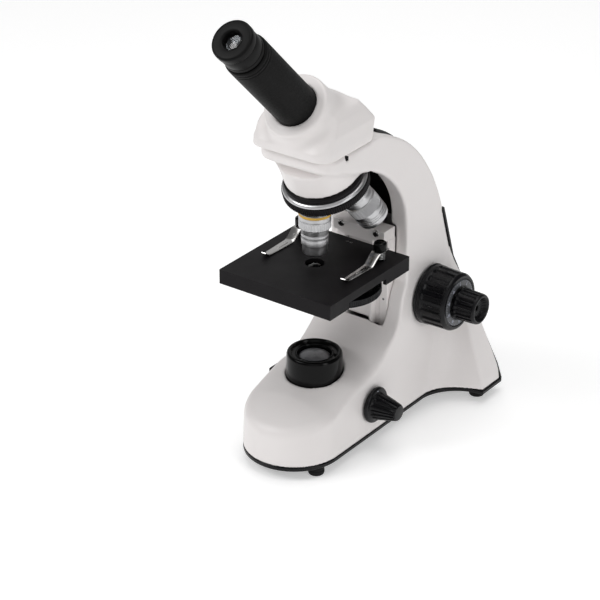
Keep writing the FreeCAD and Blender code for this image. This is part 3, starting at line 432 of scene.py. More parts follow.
def net(field, low, step):
    """Surface net: one point in each grid cell the surface crosses, joined into four-sided faces."""
    inside = field < 0
    shape = np.array(field.shape) - 1
    total = np.zeros((int(np.prod(shape)), 4))
    quads = []
    for axis in range(3):
        first = [slice(None)] * 3
        second = [slice(None)] * 3
        first[axis] = slice(None, -1)
        second[axis] = slice(1, None)
        v0 = field[tuple(first)]
        v1 = field[tuple(second)]
        spots = np.argwhere(inside[tuple(first)] != inside[tuple(second)])
        b, c = [n for n in range(3) if n != axis]
        keep = (spots[:, b] > 0) & (spots[:, c] > 0) & (spots[:, b] < shape[b]) & (spots[:, c] < shape[c])
        spots = spots[keep]
        a0 = v0[tuple(spots.T)]
        a1 = v1[tuple(spots.T)]
        points = spots.astype(float)
        points[:, axis] += a0 / (a0 - a1)
        cells = []
        for db, dc in ((1, 1), (0, 1), (0, 0), (1, 0)):
            cell = spots.copy()
            cell[:, b] -= db
            cell[:, c] -= dc
            cells.append(np.ravel_multi_index(cell.T, shape))
        for index in cells:
            for n in range(3):
                total[:, n] += np.bincount(index, points[:, n], len(total))
            total[:, 3] += np.bincount(index, minlength=len(total))
        quad = np.stack(cells, 1)
        flip = (a0 < 0) == (axis == 1)
        quad[flip] = quad[flip][:, ::-1]
        quads.append(quad)
    used = total[:, 3] > 0
    number = np.cumsum(used) - 1
    points = total[used, :3] / total[used, 3:]
    return np.array(low) + points * step, number[np.concatenate(quads)]


def relax(points, faces, field, low, step, rounds=3):
    """Slide net points back onto the surface after evening them out."""
    slopes = np.stack(np.gradient(field, step), -1)
    for _ in range(rounds):
        total = np.zeros((len(points), 4))
        for a, b in ((0, 1), (1, 2), (2, 3), (3, 0)):
            for i, j in ((a, b), (b, a)):
                for n in range(3):
                    total[:, n] += np.bincount(faces[:, i], points[faces[:, j], n], len(points))
                total[:, 3] += np.bincount(faces[:, i], minlength=len(points))
        points = points * 0.5 + total[:, :3] / total[:, 3:] * 0.5
        for _ in range(2):
            value, slope = sample(field, slopes, (points - low) / step)
            size = np.maximum((slope ** 2).sum(1), 0.05)
            points = points - np.clip(value / size, -step, step)[:, None] * slope
    return points


def sample(field, slopes, where):
    """Field value and slope at fractional grid places."""
    where = np.clip(where, 0, np.array(field.shape) - 1.001)
    base = where.astype(int)
    share = where - base
    value = 0
    slope = 0
    for dx in (0, 1):
        for dy in (0, 1):
            for dz in (0, 1):
                near = np.abs(1 - np.array((dx, dy, dz)) - share)
                weight = near[:, 0] * near[:, 1] * near[:, 2]
                index = (base[:, 0] + dx, base[:, 1] + dy, base[:, 2] + dz)
                value = value + weight * field[index]
                slope = slope + weight[:, None] * slopes[index]
    return value, slope


def grid(low, high, step):
    """Grid lines along each axis, and the same as arrays that spread over a block."""
    x, y, z = [np.arange(a, b + step, step) for a, b in zip(low, high)]
    return x, y, z, x[:, None, None], y[None, :, None], z[None, None, :]


def along_axis(base, axis, X, Y, Z):
    """Height along an axis and distance from it."""
    dx = X - base[0]
    dy = Y - base[1]
    dz = Z - base[2]
    height = dx * axis[0] + dy * axis[1] + dz * axis[2]
    radius = np.sqrt(np.maximum(dx ** 2 + dy ** 2 + dz ** 2 - height ** 2, 0))
    return height, radius


def bar_field(a, b, radius):
    """Signed distance to an endless round bar, from the two offsets across it."""
    return np.sqrt(a ** 2 + b ** 2) - radius


def block_field(X, Y, Z, low, high):
    """Signed distance to a box."""
    sides = [np.maximum(lo - axis, axis - hi) for axis, lo, hi in zip((X, Y, Z), low, high)]
    outside = np.sqrt(sum(np.maximum(side, 0) ** 2 for side in sides))
    return outside + np.minimum(np.maximum(np.maximum(sides[0], sides[1]), sides[2]), 0)


def rounded_plan(X, Y, half, front, radius):
    """Signed distance to a plan that is open at the back with two rounded front corners."""
    across = np.abs(X) - (half - radius)
    ahead = front + radius - Y
    corner = np.sqrt(np.maximum(across, 0) ** 2 + np.maximum(ahead, 0) ** 2)
    return corner + np.minimum(np.maximum(across, ahead), 0) - radius


# ---------------------------------------------------------------- stand casting

CASTING_FLOOR = 10.0
SEAM = 225.1
SCREW_Y = -6.5
SCREW_Z = 222.0
DIMMER_X = 35.3
DIMMER_Y = 20.0
DIMMER_Z = 31.5
ROCKER_Y = 3
ROCKER_Z = 38
COVER_STEP = 146
COVER_HALF = 20.4
HEAD_GAP = 0.35
ARCH = [(3, 207.5), (12.4, 205.1), (28.5, 199), (40.2, 191.3), (49.9, 181.5), (57.4, 169.9),
        (61.2, 158.0), (62.5, 136.5)]
BACK = [(27, 227.5), (57.9, 212.7), (81.3, 191.7), (100.1, 162.4), (112.8, 125.5), (119.5, 103.5)]
NOSE_TOP = [(62.5, 106), (57.5, 95.5), (54, 82.5), (49.5, 73.5), (41, 65.5), (28, 56.5), (14, 51.5),
            (1, 49.5), (-19, 43.5), (-33, 39.1), (-55, 30.5), (-70, 24)]


def side_outline():
    outline = [(-70, -20), (136, -20), (135, 20.5)]
    outline += curve_through(BACK)[::-1]
    outline += [(21.5, SEAM + 1.6), (19.5, SEAM), (-40, SEAM), (-40, 215.5), (-27, 214.8), (-12, 212.0)]
    outline += curve_through(ARCH)
    outline += curve_through(NOSE_TOP)
    return outline


def half_width(y, z):
    """How far the casting reaches to each side: slim arm, hollow valley, spreading wing behind it."""
    arm = np.interp(z, [10, 50, 103, 228], [35, 33.6, 32, 30.4])[None, :]
    flare = np.interp(z, [10, 17.9, 30.5, 43, 55.5, 70, 92, 97, 103, 112],
                      [65.4, 64, 60.4, 56.3, 52.2, 46.6, 38.4, 35.6, 33.0, 31.6])[None, :]
    start = np.interp(z, [10, 17, 24, 35, 53, 103], [80, 82, 86, 91, 96, 105])[None, :]
    finish = np.interp(z, [10, 60, 103], [112, 112, 114])[None, :]
    share = np.clip((y[:, None] - start) / (finish - start), 0, 1)
    soft = 0.5 * share ** 2 + 0.5 * share ** 4
    creased = 0.34 * share + 0.66 * share ** 6
    crisp = np.clip((z - 13) / 14, 0, 1)[None, :]
    return arm + np.maximum(flare - arm, 0) * (soft + crisp * (creased - soft))


def casting_field(y, z, X, Y, Z, step):
    """Fields of the plain body and of the body with its cone, and the place along the turret's axis."""
    side = polygon_field(side_outline(), y, z)
    crown = np.interp(y, [-58, -30, 0, 35, 50, 60], [5, 9.5, 10, 8, 4, 0])[None, :, None]
    low = np.clip((112 - Z) / 12, 0, 1)
    lift = crown * low * (1 - (X / 34) ** 2)
    middle = 1 - np.minimum(np.abs(X) / 29, 1) ** 2
    dish = 3.0 * np.clip((Z - 112) / 12, 0, 1) * np.clip((205 - Z) / 20, 0, 1) * middle
    body = lookup(side, z[0], step, Z - lift + 0 * X)
    body = body + dish * np.clip((80 - Y) / 10, 0, 1)
    wide = half_width(y, z)
    slope_y, slope_z = np.gradient(wide, step)
    steep = np.sqrt(1 + slope_y ** 2 + slope_z ** 2)[None]
    centre = -22.7
    ahead = np.minimum(Y - centre, 0)
    flank = (np.sqrt(X ** 2 + ahead ** 2) - wide[None]) / steep
    end_half = np.interp(y, [-30, 10, 40], [29.8, 30.6, 33.0])[None, :, None]
    head_end = rounded_plan(X, Y, end_half, -26.8, 13.0)
    flank = np.where(Z > 170, np.maximum(flank, head_end), flank)
    edge = np.interp(y, [-60, 20, 45, 75, 100], [5.0, 3.4, 1.3, 1.1, 2.5])[None, :, None]
    solid = smax(body, flank, edge)
    height, radius = along_axis(TURRET_BASE, TURRET_AXIS, X, Y, Z)
    cone = smax(radius - (27.0 - (height - 6) * 0.086), height - 23.4, 1.2)
    cone = np.maximum(np.maximum(cone, 4 - height), Z - SEAM)
    return solid, smin(solid, cone, 6.0), height, radius


def casting_rooms(solid, height, radius, y, z, X, Y, Z):
    """Everything that is cut out of the casting: hollows, seats, holes and the rear cover's recess."""
    hollow = np.maximum(solid + 4, block_field(X, Y, Z, (-99, 26, -99), (99, 200, 300)))
    nose_room = np.maximum(solid + 4, block_field(X, Y, Z, (-99, -99, -99), (99, 60, 140)))
    hollow = np.minimum(hollow, nose_room)
    slot = block_field(X, Y, Z, (-17, 40.5, 133), (17, 70, 203.5))
    seat = block_field(X, Y, Z, (-21.1, 49, 67), (21.1, 75, 145.2))
    path = block_field(X, Y, Z, (-11.6, 51.2, 59), (11.6, 77, 99))
    lamp = np.maximum(bar_field(X, Y, 19.7), np.abs(Z - 74) - 30)
    turret = np.minimum(np.maximum(radius - 32.1, np.abs(height - 34.4) - 10.9),
                        np.maximum(radius - 36.5, np.abs(height - 62) - 19))
    shaft = np.sqrt((Y - SHAFT_Y) ** 2 + (Z - SHAFT_Z) ** 2)
    shafts = np.minimum(shaft - 8, np.maximum(shaft - 22.2, 32.5 - np.abs(X)))
    dimmer = np.maximum(bar_field(Y - DIMMER_Y, Z - DIMMER_Z, 3.6), 20 - X)
    switch = block_field(X, Y, Z, (-45, ROCKER_Y - 5.3, ROCKER_Z - 7.5),
                         (-18, ROCKER_Y + 5.3, ROCKER_Z + 7.5))
    screw = np.maximum(bar_field(Y - SCREW_Y, Z - SCREW_Z, 1.5), 24 - X)
    light = np.maximum(bar_field(X, Y, 9), 170 - Z)
    seat_ring = np.maximum(bar_field(X, Y, 22.1), SEAM - 0.8 - Z)
    behind = np.interp(z, [140, 190, 205, 220], [85, 62, 42, 25])[None, None, :]
    rear = polygon_field(side_outline(), y, z)[None]
    wide = np.where(z < COVER_STEP, 34, COVER_HALF)[None, None, :]
    deep = np.where(z < COVER_STEP, 1.9, 2.4)[None, None, :]
    strip = np.maximum(np.maximum(np.abs(X) - wide, -deep - rear),
                       np.maximum(112 - Z, np.maximum(behind, 39.6) - Y))
    return hollow, slot, seat, path, lamp, turret, shafts, dimmer, switch, screw, light, seat_ring, strip


def make_casting():
    step = 1.3
    x, y, z, X, Y, Z = grid((-67.6, -62, 6), (67.7, 139, 232), step)
    solid, field, height, radius = casting_field(y, z, X, Y, Z, step)
    for room in casting_rooms(solid, height, radius, y, z, X, Y, Z):
        field = smax(field, -room, 0.8)
    field = smax(field, Z - SEAM, 1.0)
    field = np.maximum(field, CASTING_FLOOR + 0.05 - Z)
    points, faces = net(field, (x[0], y[0], z[0]), step)
    points = relax(points, faces, field, (x[0], y[0], z[0]), step)
    points[:, 2] = np.maximum(points[:, 2], CASTING_FLOOR)
    obj = build("casting_moulded", points, faces, "painted_white", "stand", ("stand_casting",), sharp=None)
    # Painted shade in the screw hole and deep hollow; the slot's sides are made near-black.
    paint_shade_and_darken_slot(obj)
    socket = [(0, 26.0), (1.45, 26.0), (1.45, 28.4), (0.8, 28.5), (0.7, 27.6), (0, 27.5)]
    lathe("set_screw", socket, "black_metal", "stand", base=(0, SCREW_Y, SCREW_Z), axis=(1, 0, 0), soft=0.1,
          steps=32, closed=False)


def paint_shade_and_darken_slot(obj):
    """Makes the slot's sides near-black, and paints shade into the set screw's hole and the deep hollow with
    the same near-black material.
    """
    mesh = obj.data
    mesh.materials.append(MAT["dark_inside"])
    centres = np.zeros(len(mesh.polygons) * 3)
    mesh.polygons.foreach_get("center", centres)
    normals = np.zeros(len(mesh.polygons) * 3)
    mesh.polygons.foreach_get("normal", normals)
    x, y, z = (centres.reshape(-1, 3) / MM - np.array([0, AXIS_Y, 0])).T
    sideways = np.abs(normals.reshape(-1, 3)[:, 0]) > 0.6
    # Slot side faces get the near-black material.
    in_slot = (np.abs(x) < 17.4) & (y > 40) & (z > 133) & (z < 204) & sideways
    # Painted shade: the set screw's hole and the deep hollow get the near-black material in place of their
    # shade.
    screw_hole_shade = (np.hypot(y - SCREW_Y, z - SCREW_Z) < 1.75) & (x > 22)
    deep = (np.abs(x) < 28) & (y > 76) & (y < 108) & (z < 180) & (z > 12)
    mesh.polygons.foreach_set("material_index", (in_slot | screw_hole_shade | deep).astype(np.int32))


# ---------------------------------------------------------------- head

HEAD_SIDE = [(-33.5, 200), (-33.5, 231.5), (-26, 237), (-12.5, 249.5), (6, 253), (15, 254.5),
             (25.6, 240.6), (20.8, 226), (20.5, 200)]


def make_head():
    step = 1.0
    x, y, z, X, Y, Z = grid((-34, -50, 222), (34, 36, 281), step)
    side = polygon_field(HEAD_SIDE, y, z)[None]
    wide = np.interp(z, [225, 231, 234, 240, 248, 255], [31.4, 31.2, 30.8, 30.3, 27.6, 24.0])[None, None, :]
    lip = np.interp(z, [225, 231, 234.5, 240], [-32.8, -32.2, -30.6, -29.4])[None, None, :]
    front = rounded_plan(X, Y, wide, lip, 11.5)
    block = smax(side + 0 * X, front, 3.0)
    height, radius = along_axis(TUBE_BASE, TUBE_AXIS, X, Y, Z)
    neck = smax(radius - np.interp(height, [-5, 31.5], [23.6, 22.3]), height - 31.5, 2.5)
    neck = np.maximum(neck, -4 - height)
    field = smin(block, neck, 8.0)
    field = smax(field, SEAM + HEAD_GAP - Z, 1.4)
    room = block_field(X, Y, Z, (-13, -9, 210), (13, 13, 243))
    seat = np.maximum(radius - 14.9, 14 - height)
    light = np.maximum(radius - 9, np.abs(height - 10) - 12)
    for hole in (room, seat, light):
        field = smax(field, -hole, 0.6)
    points, faces = net(field, (x[0], y[0], z[0]), step)
    points = relax(points, faces, field, (x[0], y[0], z[0]), step)
    build("head_moulded", points, faces, "painted_white", "head", ("head_housing",), sharp=None)


# ---------------------------------------------------------------- tube and eyepiece

def make_tube():
    at = {"base": TUBE_BASE, "axis": TUBE_AXIS}
    grooves = [(14.8, 97.0), (14.4, 97.3), (14.4, 97.8), (14.8, 98.1), (14.8, 99.5), (14.4, 99.8),
               (14.4, 100.3), (14.8, 100.6)]
    rows = [(11.7, 14), (14.75, 14), (14.8, 15)] + grooves + [(14.6, 102.3), (14.0, 103), (11.7, 103)]
    lathe("tube_sleeve", rows, "tube_black", "head", replaces=("eyepiece_tube",), soft=0.3, **at)
    rows = [(10.1, 76), (11.6, 76), (11.6, 103.2), (13.2, 103.2), (13.55, 104), (13.5, 106.2),
            (13.2, 106.5), (13.2, 107.0), (13.5, 107.3), (13.45, 115.5), (10.1, 115.5)]
    lathe("eyepiece_sleeve", rows, "eyepiece_black", "eyepiece", replaces=("eyepiece_barrel",), **at)
    rows = [(6.0, 115.7), (13.5, 115.7), (13.9, 116.3), (13.9, 120.7), (13.1, 121.5), (12.2, 121.8),
            (7.6, 121.8), (6.6, 121.4), (6.1, 119.9)]
    lathe("eyepiece_rim", rows, "eyepiece_black", "eyepiece", replaces=("eyepiece_cap",), soft=0.4, **at)
    rows = [(0, 116.1), (5.9, 116.1), (5.9, 116.6), (4.8, 117.2), (3.4, 117.6), (1.8, 117.8), (0, 117.9)]
    lathe("eye_lens_glass", rows, "optical_glass", "eyepiece", replaces=("eye_lens",), soft=0, closed=False,
          **at)
    # Painted shade: a thin near-black disc under the eye lens stands for the eyepiece's dark depth.
    rows = [(0, 115.5), (8.0, 115.5), (8.0, 115.8), (0, 115.8)]
    lathe("eye_lens_seat", rows, "dark_inside", "eyepiece", soft=0, closed=False, **at)


# ---------------------------------------------------------------- nosepiece and objectives

def knurl(count, depth, low, high):
    """Fine teeth between two heights."""
    def grip(angle, radius, height):
        inside = low < height < high
        return depth * (0.5 + 0.5 * np.cos(angle * count)) if inside else 0 * angle
    return grip


def diamond(count, depth, low, high, pitch):
    """A crossed knurl between two heights."""
    def grip(angle, radius, height):
        if not low < height < high:
            return 0 * angle
        phase = 2 * math.pi * (height - low) / pitch
        wave = np.abs(np.cos((angle * count + phase) / 2)) * np.abs(np.cos((angle * count - phase) / 2))
        return depth * (wave - 0.5)
    return grip


def make_nosepiece():
    at = {"base": TURRET_BASE, "axis": TURRET_AXIS}
    rows = [(3.3, 23.5), (25.6, 23.5), (26.6, 24.0), (26.9, 24.8), (26.9, 27.2), (3.3, 27.2)]
    lathe("nosepiece_ring", rows, "black_metal", "stand", replaces=("nosepiece_base",), **at)
    rows = [(3.3, 27.5), (27.0, 27.5), (28.2, 28.2), (28.9, 29.5), (27.8, 29.9), (27.6, 30.6), (22, 33),
            (8, 38), (3.3, 38)]
    lathe("turret_bevel", rows, "satin_chrome", "turret", replaces=("turret_disc",), **at)
    rows = [(27.7, 30.0), (28.6, 30.0), (29.0, 30.5), (29.0, 35.0), (28.4, 35.8), (27.7, 35.8)]
    lathe("turret_grip", rows, "black_metal", "turret", replaces=("turret_grip_ring",), soft=0.2, steps=720,
          grip=knurl(120, 0.45, 30.2, 35.2), sharp=50, **at)


def stacked(low, high, pitch, radius):
    """Level rows that carry a knurled pattern."""
    count = int((high - low) / pitch)
    return [(radius, low + (high - low) * k / count) for k in range(count + 1)]


def grooved(radius, spots, deep=0.35, wide=0.7):
    """Rows for a barrel with narrow grooves at the given heights."""
    rows = []
    for spot in spots:
        rows += [(radius, spot), (radius - deep, spot + 0.12), (radius - deep, spot + wide - 0.12),
                 (radius, spot + wide)]
    return rows


def slim_objective(name, tip_rows, lens):
    """A 10x or 40x: seat, banded collar, knurled lower collar, stepped barrel."""
    at = {"axis": (0, 0, -1), "base": TURRET_BASE}
    tip = tip_rows[-1][1]
    rows = [(6.0, 38.5), (10.0, 38.5), (10.0, 45.6), (10.85, 46.2), (10.85, 46.6), (10.3, 46.6),
            (10.3, 48.4), (10.85, 48.4), (10.85, 51.2), (10.55, 51.4), (10.55, 51.8)]
    rows += stacked(52.0, 57.0, 0.5, 10.6) + [(10.3, 57.5), (9.3, 58.0)]
    rows += grooved(9.15, (61.0, 64.0)) + tip_rows + [(lens + 0.6, tip), (lens, tip - 1.0),
                                                      (lens, tip - 3.0), (5.8, tip - 12), (6.0, 45)]
    obj = lathe(f"objective_{name}_body", rows, "satin_chrome", "turret", replaces=(f"objective_{name}",),
                soft=0.18, steps=432, grip=knurl(36, 0.28, 51.9, 57.1), sharp=28, **at)
    spin_piece(obj, TURRET_STOPS[name])


def spin_piece(obj, angle):
    """Turn a finished piece about the turret's axis, by an angle in degrees."""
    base = Vector(to_metres([TURRET_BASE])[0])
    turn = Matrix.Rotation(math.radians(angle), 3, Vector(TURRET_AXIS)).to_4x4()
    obj.data.transform(Matrix.Translation(base) @ turn @ Matrix.Translation(-base))


def make_objectives():
    slim_objective("10x", [(9.1, 69.2), (8.4, 69.8), (8.4, 75.3), (7.9, 75.9), (7.2, 76.4)], 3.6)
    slim_objective("40x", [(9.1, 70.0), (7.4, 73.2), (6.0, 77.4), (5.0, 79.8), (4.3, 80.4)], 2.4)
    rows = [(6.0, 38.5), (9.6, 38.5), (9.6, 41.6), (11.0, 42.2), (11.0, 46.6), (10.4, 46.6), (10.4, 48.4),
            (11.0, 48.4), (11.0, 52.0), (10.3, 52.4), (10.3, 53.2), (11.0, 53.6)]
    rows += stacked(54.0, 61.5, 0.3, 11.1) + [(11.2, 62.0)] + grooved(11.2, (64.6, 66.2, 67.8), 0.4, 0.8)
    rows += [(11.2, 69.6), (10.4, 72.2), (8.8, 73.3), (5.8, 73.5), (5.2, 72.5), (5.2, 70.5), (6.2, 61),
             (6.2, 45)]
    obj = lathe("objective_4x_body", rows, "satin_chrome", "turret", base=TURRET_BASE, axis=(0, 0, -1),
                replaces=("objective_4x",), soft=0.16, steps=464, grip=diamond(58, 0.5, 53.9, 61.6, 1.2),
                sharp=28)
    spin_piece(obj, TURRET_STOPS["4x"])
    obj.data.materials.append(MAT["black_metal"])
    darken_tip(obj)
    ring = [(10.3, 46.65), (10.95, 46.65), (10.95, 48.35), (10.3, 48.35)]
    for name, slot in (("10x", "colour_band"), ("4x", "satin_chrome"), ("40x", "band_blue")):
        obj = lathe(f"band_{name}", ring, slot, "turret", base=TURRET_BASE, axis=(0, 0, -1), soft=0.15,
                    replaces=("objective_bands",) if name == "10x" else ())
        spin_piece(obj, TURRET_STOPS[name])


def darken_tip(obj):
    """The 4x objective's bevelled end is black."""
    mesh = obj.data
    values = np.zeros(len(mesh.vertices))
    mesh.attributes["along"].data.foreach_get("value", values)
    for face in mesh.polygons:
        if min(values[v] for v in face.vertices) > 69.8:
            face.material_index = 1


# ---------------------------------------------------------------- lamp

def make_lamp():
    rows = [(10.1, 44), (19.5, 44), (19.5, 56), (19.0, 68.6), (18.3, 70.1), (17.2, 70.5), (16.2, 70.4),
            (15.6, 69.2), (15.4, 68.4), (13.0, 68.3), (12.6, 68.9), (11.9, 68.9), (11.6, 67.0),
            (11.6, 62.6), (10.1, 62.6)]
    lathe("lamp_body", rows, "black_gloss", "stand", replaces=("lamp_housing",), soft=0.4, steps=160)
    dome = [(0, 62.6), (11.4, 62.6), (11.4, 65.4)]
    dome += [(11.4 * math.cos(t), 65.4 + 3.2 * math.sin(t)) for t in (0.2, 0.45, 0.7, 0.95, 1.2, 1.4)]
    lathe("lamp_diffuser", dome + [(0, 68.6)], "frosted_lens", "stand", replaces=("lamp_lens",), soft=0,
          closed=False)
    small_blocks("lamp_notches", 3, 14.2, 68.5, (1.6, 3.0, 0.7), "black_gloss", "stand")


def small_blocks(name, count, radius, z, size, slot, body):
    """Small eased lugs standing in a ring."""
    verts = []
    faces = []
    for k in range(count):
        angle = 2 * math.pi * k / count + 0.5
        turn = Matrix.Rotation(angle, 3, "Z")
        first = len(verts)
        for dz, shrink in ((-0.3, 1.0), (size[2] * 0.7, 1.0), (size[2], 0.75)):
            for sx, sy in ((-1, -1), (1, -1), (1, 1), (-1, 1)):
                corner = Vector((radius + sx * size[0] / 2 * shrink, sy * size[1] / 2 * shrink, 0))
                spot = turn @ corner
                verts.append((spot.x, spot.y, z + dz))
        for level in (0, 4):
            faces += [quad(first + level, first + level + 4, 4, n) for n in range(4)]
        faces.append(tuple(first + 8 + n for n in range(4)))
        faces.append(tuple(first + 3 - n for n in range(4)))
    return build(name, verts, faces, slot, body)


# ---------------------------------------------------------------- focusing knobs

def ribs(count, depth, low, high, ease=1.2):
    """Broad flat ribs with narrow grooves between them, fading out at both ends."""
    def grip(angle, radius, height):
        fade = min(1.0, max(0.0, (height - low) / ease), max(0.0, (high - height) / ease))
        wave = np.cos(angle * count)
        return -depth * fade * np.clip(0.55 - 1.6 * wave, 0, 1)
    return grip


def first_only(sign, node):
    """A node with several solids is replaced by the right-hand piece."""
    return (node,) if sign > 0 else ()


def knob_place(side):
    return {"base": (side * KNOB_X, SHAFT_Y, SHAFT_Z), "axis": (side, 0, 0)}


COARSE = [(3.7, 0.05), (20.6, 0.05), (21.5, 0.7), (21.5, 1.4), (20.9, 2.0), (20.9, 2.4), (21.3, 2.9),
          (21.2, 5.4), (21.0, 6.2), (20.9, 6.8), (20.9, 7.4), (20.8, 13), (20.6, 20.6), (20.6, 21.4),
          (20.6, 22.0), (20.5, 22.8), (19.2, 24.8), (17.2, 24.8), (16.7, 23.7), (3.7, 23.7)]
DIAL = [(11.8, 22.4), (16.6, 22.4), (16.6, 24.6), (16.2, 25.0), (12.4, 25.0), (11.8, 24.6)]
FINE = [(2.0, 25.3), (10.2, 25.3), (11.0, 26.0), (11.4, 27.0), (11.4, 28.0), (11.35, 28.8), (11.1, 34.4),
        (10.95, 39.8), (10.9, 40.6), (10.8, 41.3), (10.3, 42.4), (9.6, 42.65), (8.8, 42.6), (8.0, 41.6),
        (7.2, 39.6), (6.2, 39.0), (2.4, 38.8), (2.2, 38.4), (2.1, 35.4), (0.0, 35.3), (0.0, 29.2),
        (2.0, 29.2)]


def make_knobs():
    for name, side in SIDES:
        at = knob_place(side)
        lathe(f"coarse_grip_{name}", COARSE, "black_plastic", "coarse_drive",
              replaces=(f"coarse_knob_{name}",), soft=0.3, steps=576, grip=ribs(18, 1.2, 5.8, 22.2),
              sharp=45, **at)
        lathe(f"dial_{name}", DIAL, "dial_grey", "coarse_drive", replaces=first_only(side, "dial_rings"),
              soft=0.25, steps=160, **at)
        dial_marks(name, side)
        lathe(f"fine_grip_{name}", FINE, "black_plastic", "fine_drive", replaces=(f"fine_knob_{name}",),
              soft=0.25, steps=480, grip=ribs(20, 0.8, 27.2, 41.0), sharp=45, **at)


def outer_face(side, x, up, across):
    """A point on a knob's outer face: up and across as seen by someone facing that end."""
    return (side * x, SHAFT_Y + side * across, SHAFT_Z + up)


def dial_marks(name, side):
    """Fine ticks and generic numbers round the dial ring, raised by a hair."""
    verts = []
    faces = []
    face_x = KNOB_X + DIAL_TOP
    for k in range(50):
        angle = 2 * math.pi * k / 50
        inner = 15.0 if k % 5 == 0 else 15.6
        add_tick(verts, faces, side, face_x, angle, inner, 16.15, 0.22 if k % 5 == 0 else 0.14)
    build(f"dial_ticks_{name}", verts, faces, "numerals", "coarse_drive", sharp=None)
    pieces = [dial_number(side, face_x, 2 * math.pi * k / 10, str(k * 5)) for k in range(10)]
    merge_meshes(f"dial_numbers_{name}", pieces, "numerals", "coarse_drive")


def dial_number(side, face_x, angle, digits):
    """A number as a mesh in place, its top towards the dial's rim."""
    reach = 13.75
    curve = bpy.data.curves.new("digit", "FONT")
    curve.body = digits
    curve.size = 2.5 * MM
    curve.extrude = 0.04 * MM
    curve.align_x = "CENTER"
    curve.align_y = "CENTER"
    text = new_object("digit", curve)
    centre = outer_face(side, face_x, reach * math.cos(angle), reach * math.sin(angle))
    spot = Vector(to_metres([centre])[0])
    outward = Vector((side, 0, 0))
    upward = Vector((0, side * math.sin(angle), math.cos(angle)))
    turn = Matrix((upward.cross(outward), upward, outward)).transposed().to_4x4()
    text.matrix_world = Matrix.Translation(spot) @ turn
    bpy.context.view_layer.update()
    mesh = bpy.data.meshes.new_from_object(text)
    mesh.transform(text.matrix_world)
    bpy.data.objects.remove(text)
    return mesh


def merge_meshes(name, meshes, slot, body):
    """One piece from several meshes."""
    work = bmesh.new()
    for mesh in meshes:
        work.from_mesh(mesh)
    merged = bpy.data.meshes.new(name)
    work.to_mesh(merged)
    work.free()
    merged.materials.clear()
    merged.materials.append(MAT[slot])
    obj = new_object(name, merged)
    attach(obj, body)
    return obj


def add_tick(verts, faces, side, x, angle, inner, outer, wide):
    """A short raised line on the dial, pointing at its centre."""
    first = len(verts)
    radial = (math.cos(angle), math.sin(angle))
    cross = (-radial[1], radial[0])
    for lift in (0, 0.06):
        for reach, half in ((inner, -wide / 2), (inner, wide / 2), (outer, wide / 2), (outer, -wide / 2)):
            up = radial[0] * reach + cross[0] * half
            across = radial[1] * reach + cross[1] * half
            verts.append(outer_face(side, x - 0.03 + lift, up, across))
    faces.append(tuple(first + 4 + k for k in range(4)))
    faces += [quad(first, first + 4, 4, k) for k in range(4)]


def make_dimmer():
    rows = [(0, 0.4), (4.0, 0.4), (4.0, 0.1), (12.2, 0.1), (12.8, 0.7), (12.8, 2.2), (12.0, 3.1),
            (9.9, 3.5), (9.6, 4.2), (9.4, 5.2), (7.5, 14), (6.1, 19.6), (5.8, 20.4), (5.2, 21.0),
            (0, 21.0)]
    lathe("dimmer_grip", rows, "black_plastic", "dimmer", base=(DIMMER_X, DIMMER_Y, DIMMER_Z), axis=(1, 0, 0),
          replaces=("dimmer_knob",), soft=0.35, steps=384, grip=ribs(16, 1.1, 3.6, 20.6), sharp=45,
          closed=False)
    pointer = [(DIMMER_X + h, DIMMER_Y, DIMMER_Z + r) for h, r in ((3.3, 11.4), (3.3, 9.9), (4.4, 9.3))]
    add_strip("dimmer_pointer", pointer, 0.5, "numerals", "dimmer")


def add_strip(name, line, half, slot, body):
    """A thin flat mark along a line in the x-z plane."""
    verts = []
    for x, y, z in line:
        verts += [(x + 0.05, y - half, z + 0.05), (x + 0.05, y + half, z + 0.05)]
    faces = [(2 * k, 2 * k + 1, 2 * k + 3, 2 * k + 2) for k in range(len(line) - 1)]
    build(name, verts, faces, slot, body, sharp=None)


# ---------------------------------------------------------------- stage

def make_stage():
    bevelled("stage_plate", 0.9, "black_metal", "stage", 3)
    bevelled("stage_bracket", 0.5, "painted_white", "stage")
    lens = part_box("condenser_lens")[1].x / MM
    edge = lens + 0.12
    aperture_ring = [(edge, STAGE_TOP - 3.2), (edge + 0.4, STAGE_TOP - 0.9), (edge + 0.4, STAGE_TOP),
                     (edge, STAGE_TOP - 0.1)]
    lathe("aperture_edge", aperture_ring, "black_metal", "stage", soft=0.1, steps=96)
    rim = lens - 0.2
    glass_rows = [(0, 128), (rim, 128), (rim, 133.0)]
    glass_rows += [(rim * math.cos(t), 133.0 + 2.7 * math.sin(t)) for t in (0.25, 0.5, 0.75, 1.0, 1.25, 1.45)]
    lathe("condenser_glass", glass_rows + [(0, 135.7)], "optical_glass", "stage",
          replaces=("condenser_lens",), soft=0, closed=False)
    for name, sign in SIDES:
        screw_head(f"stage_screw_{name}", (sign * 1.6, 39.5, STAGE_TOP - 0.15), (0, 0, 1), 1.1, 0.15,
                   "shaft_steel", "stage", first_only(sign, "stage_screws"))


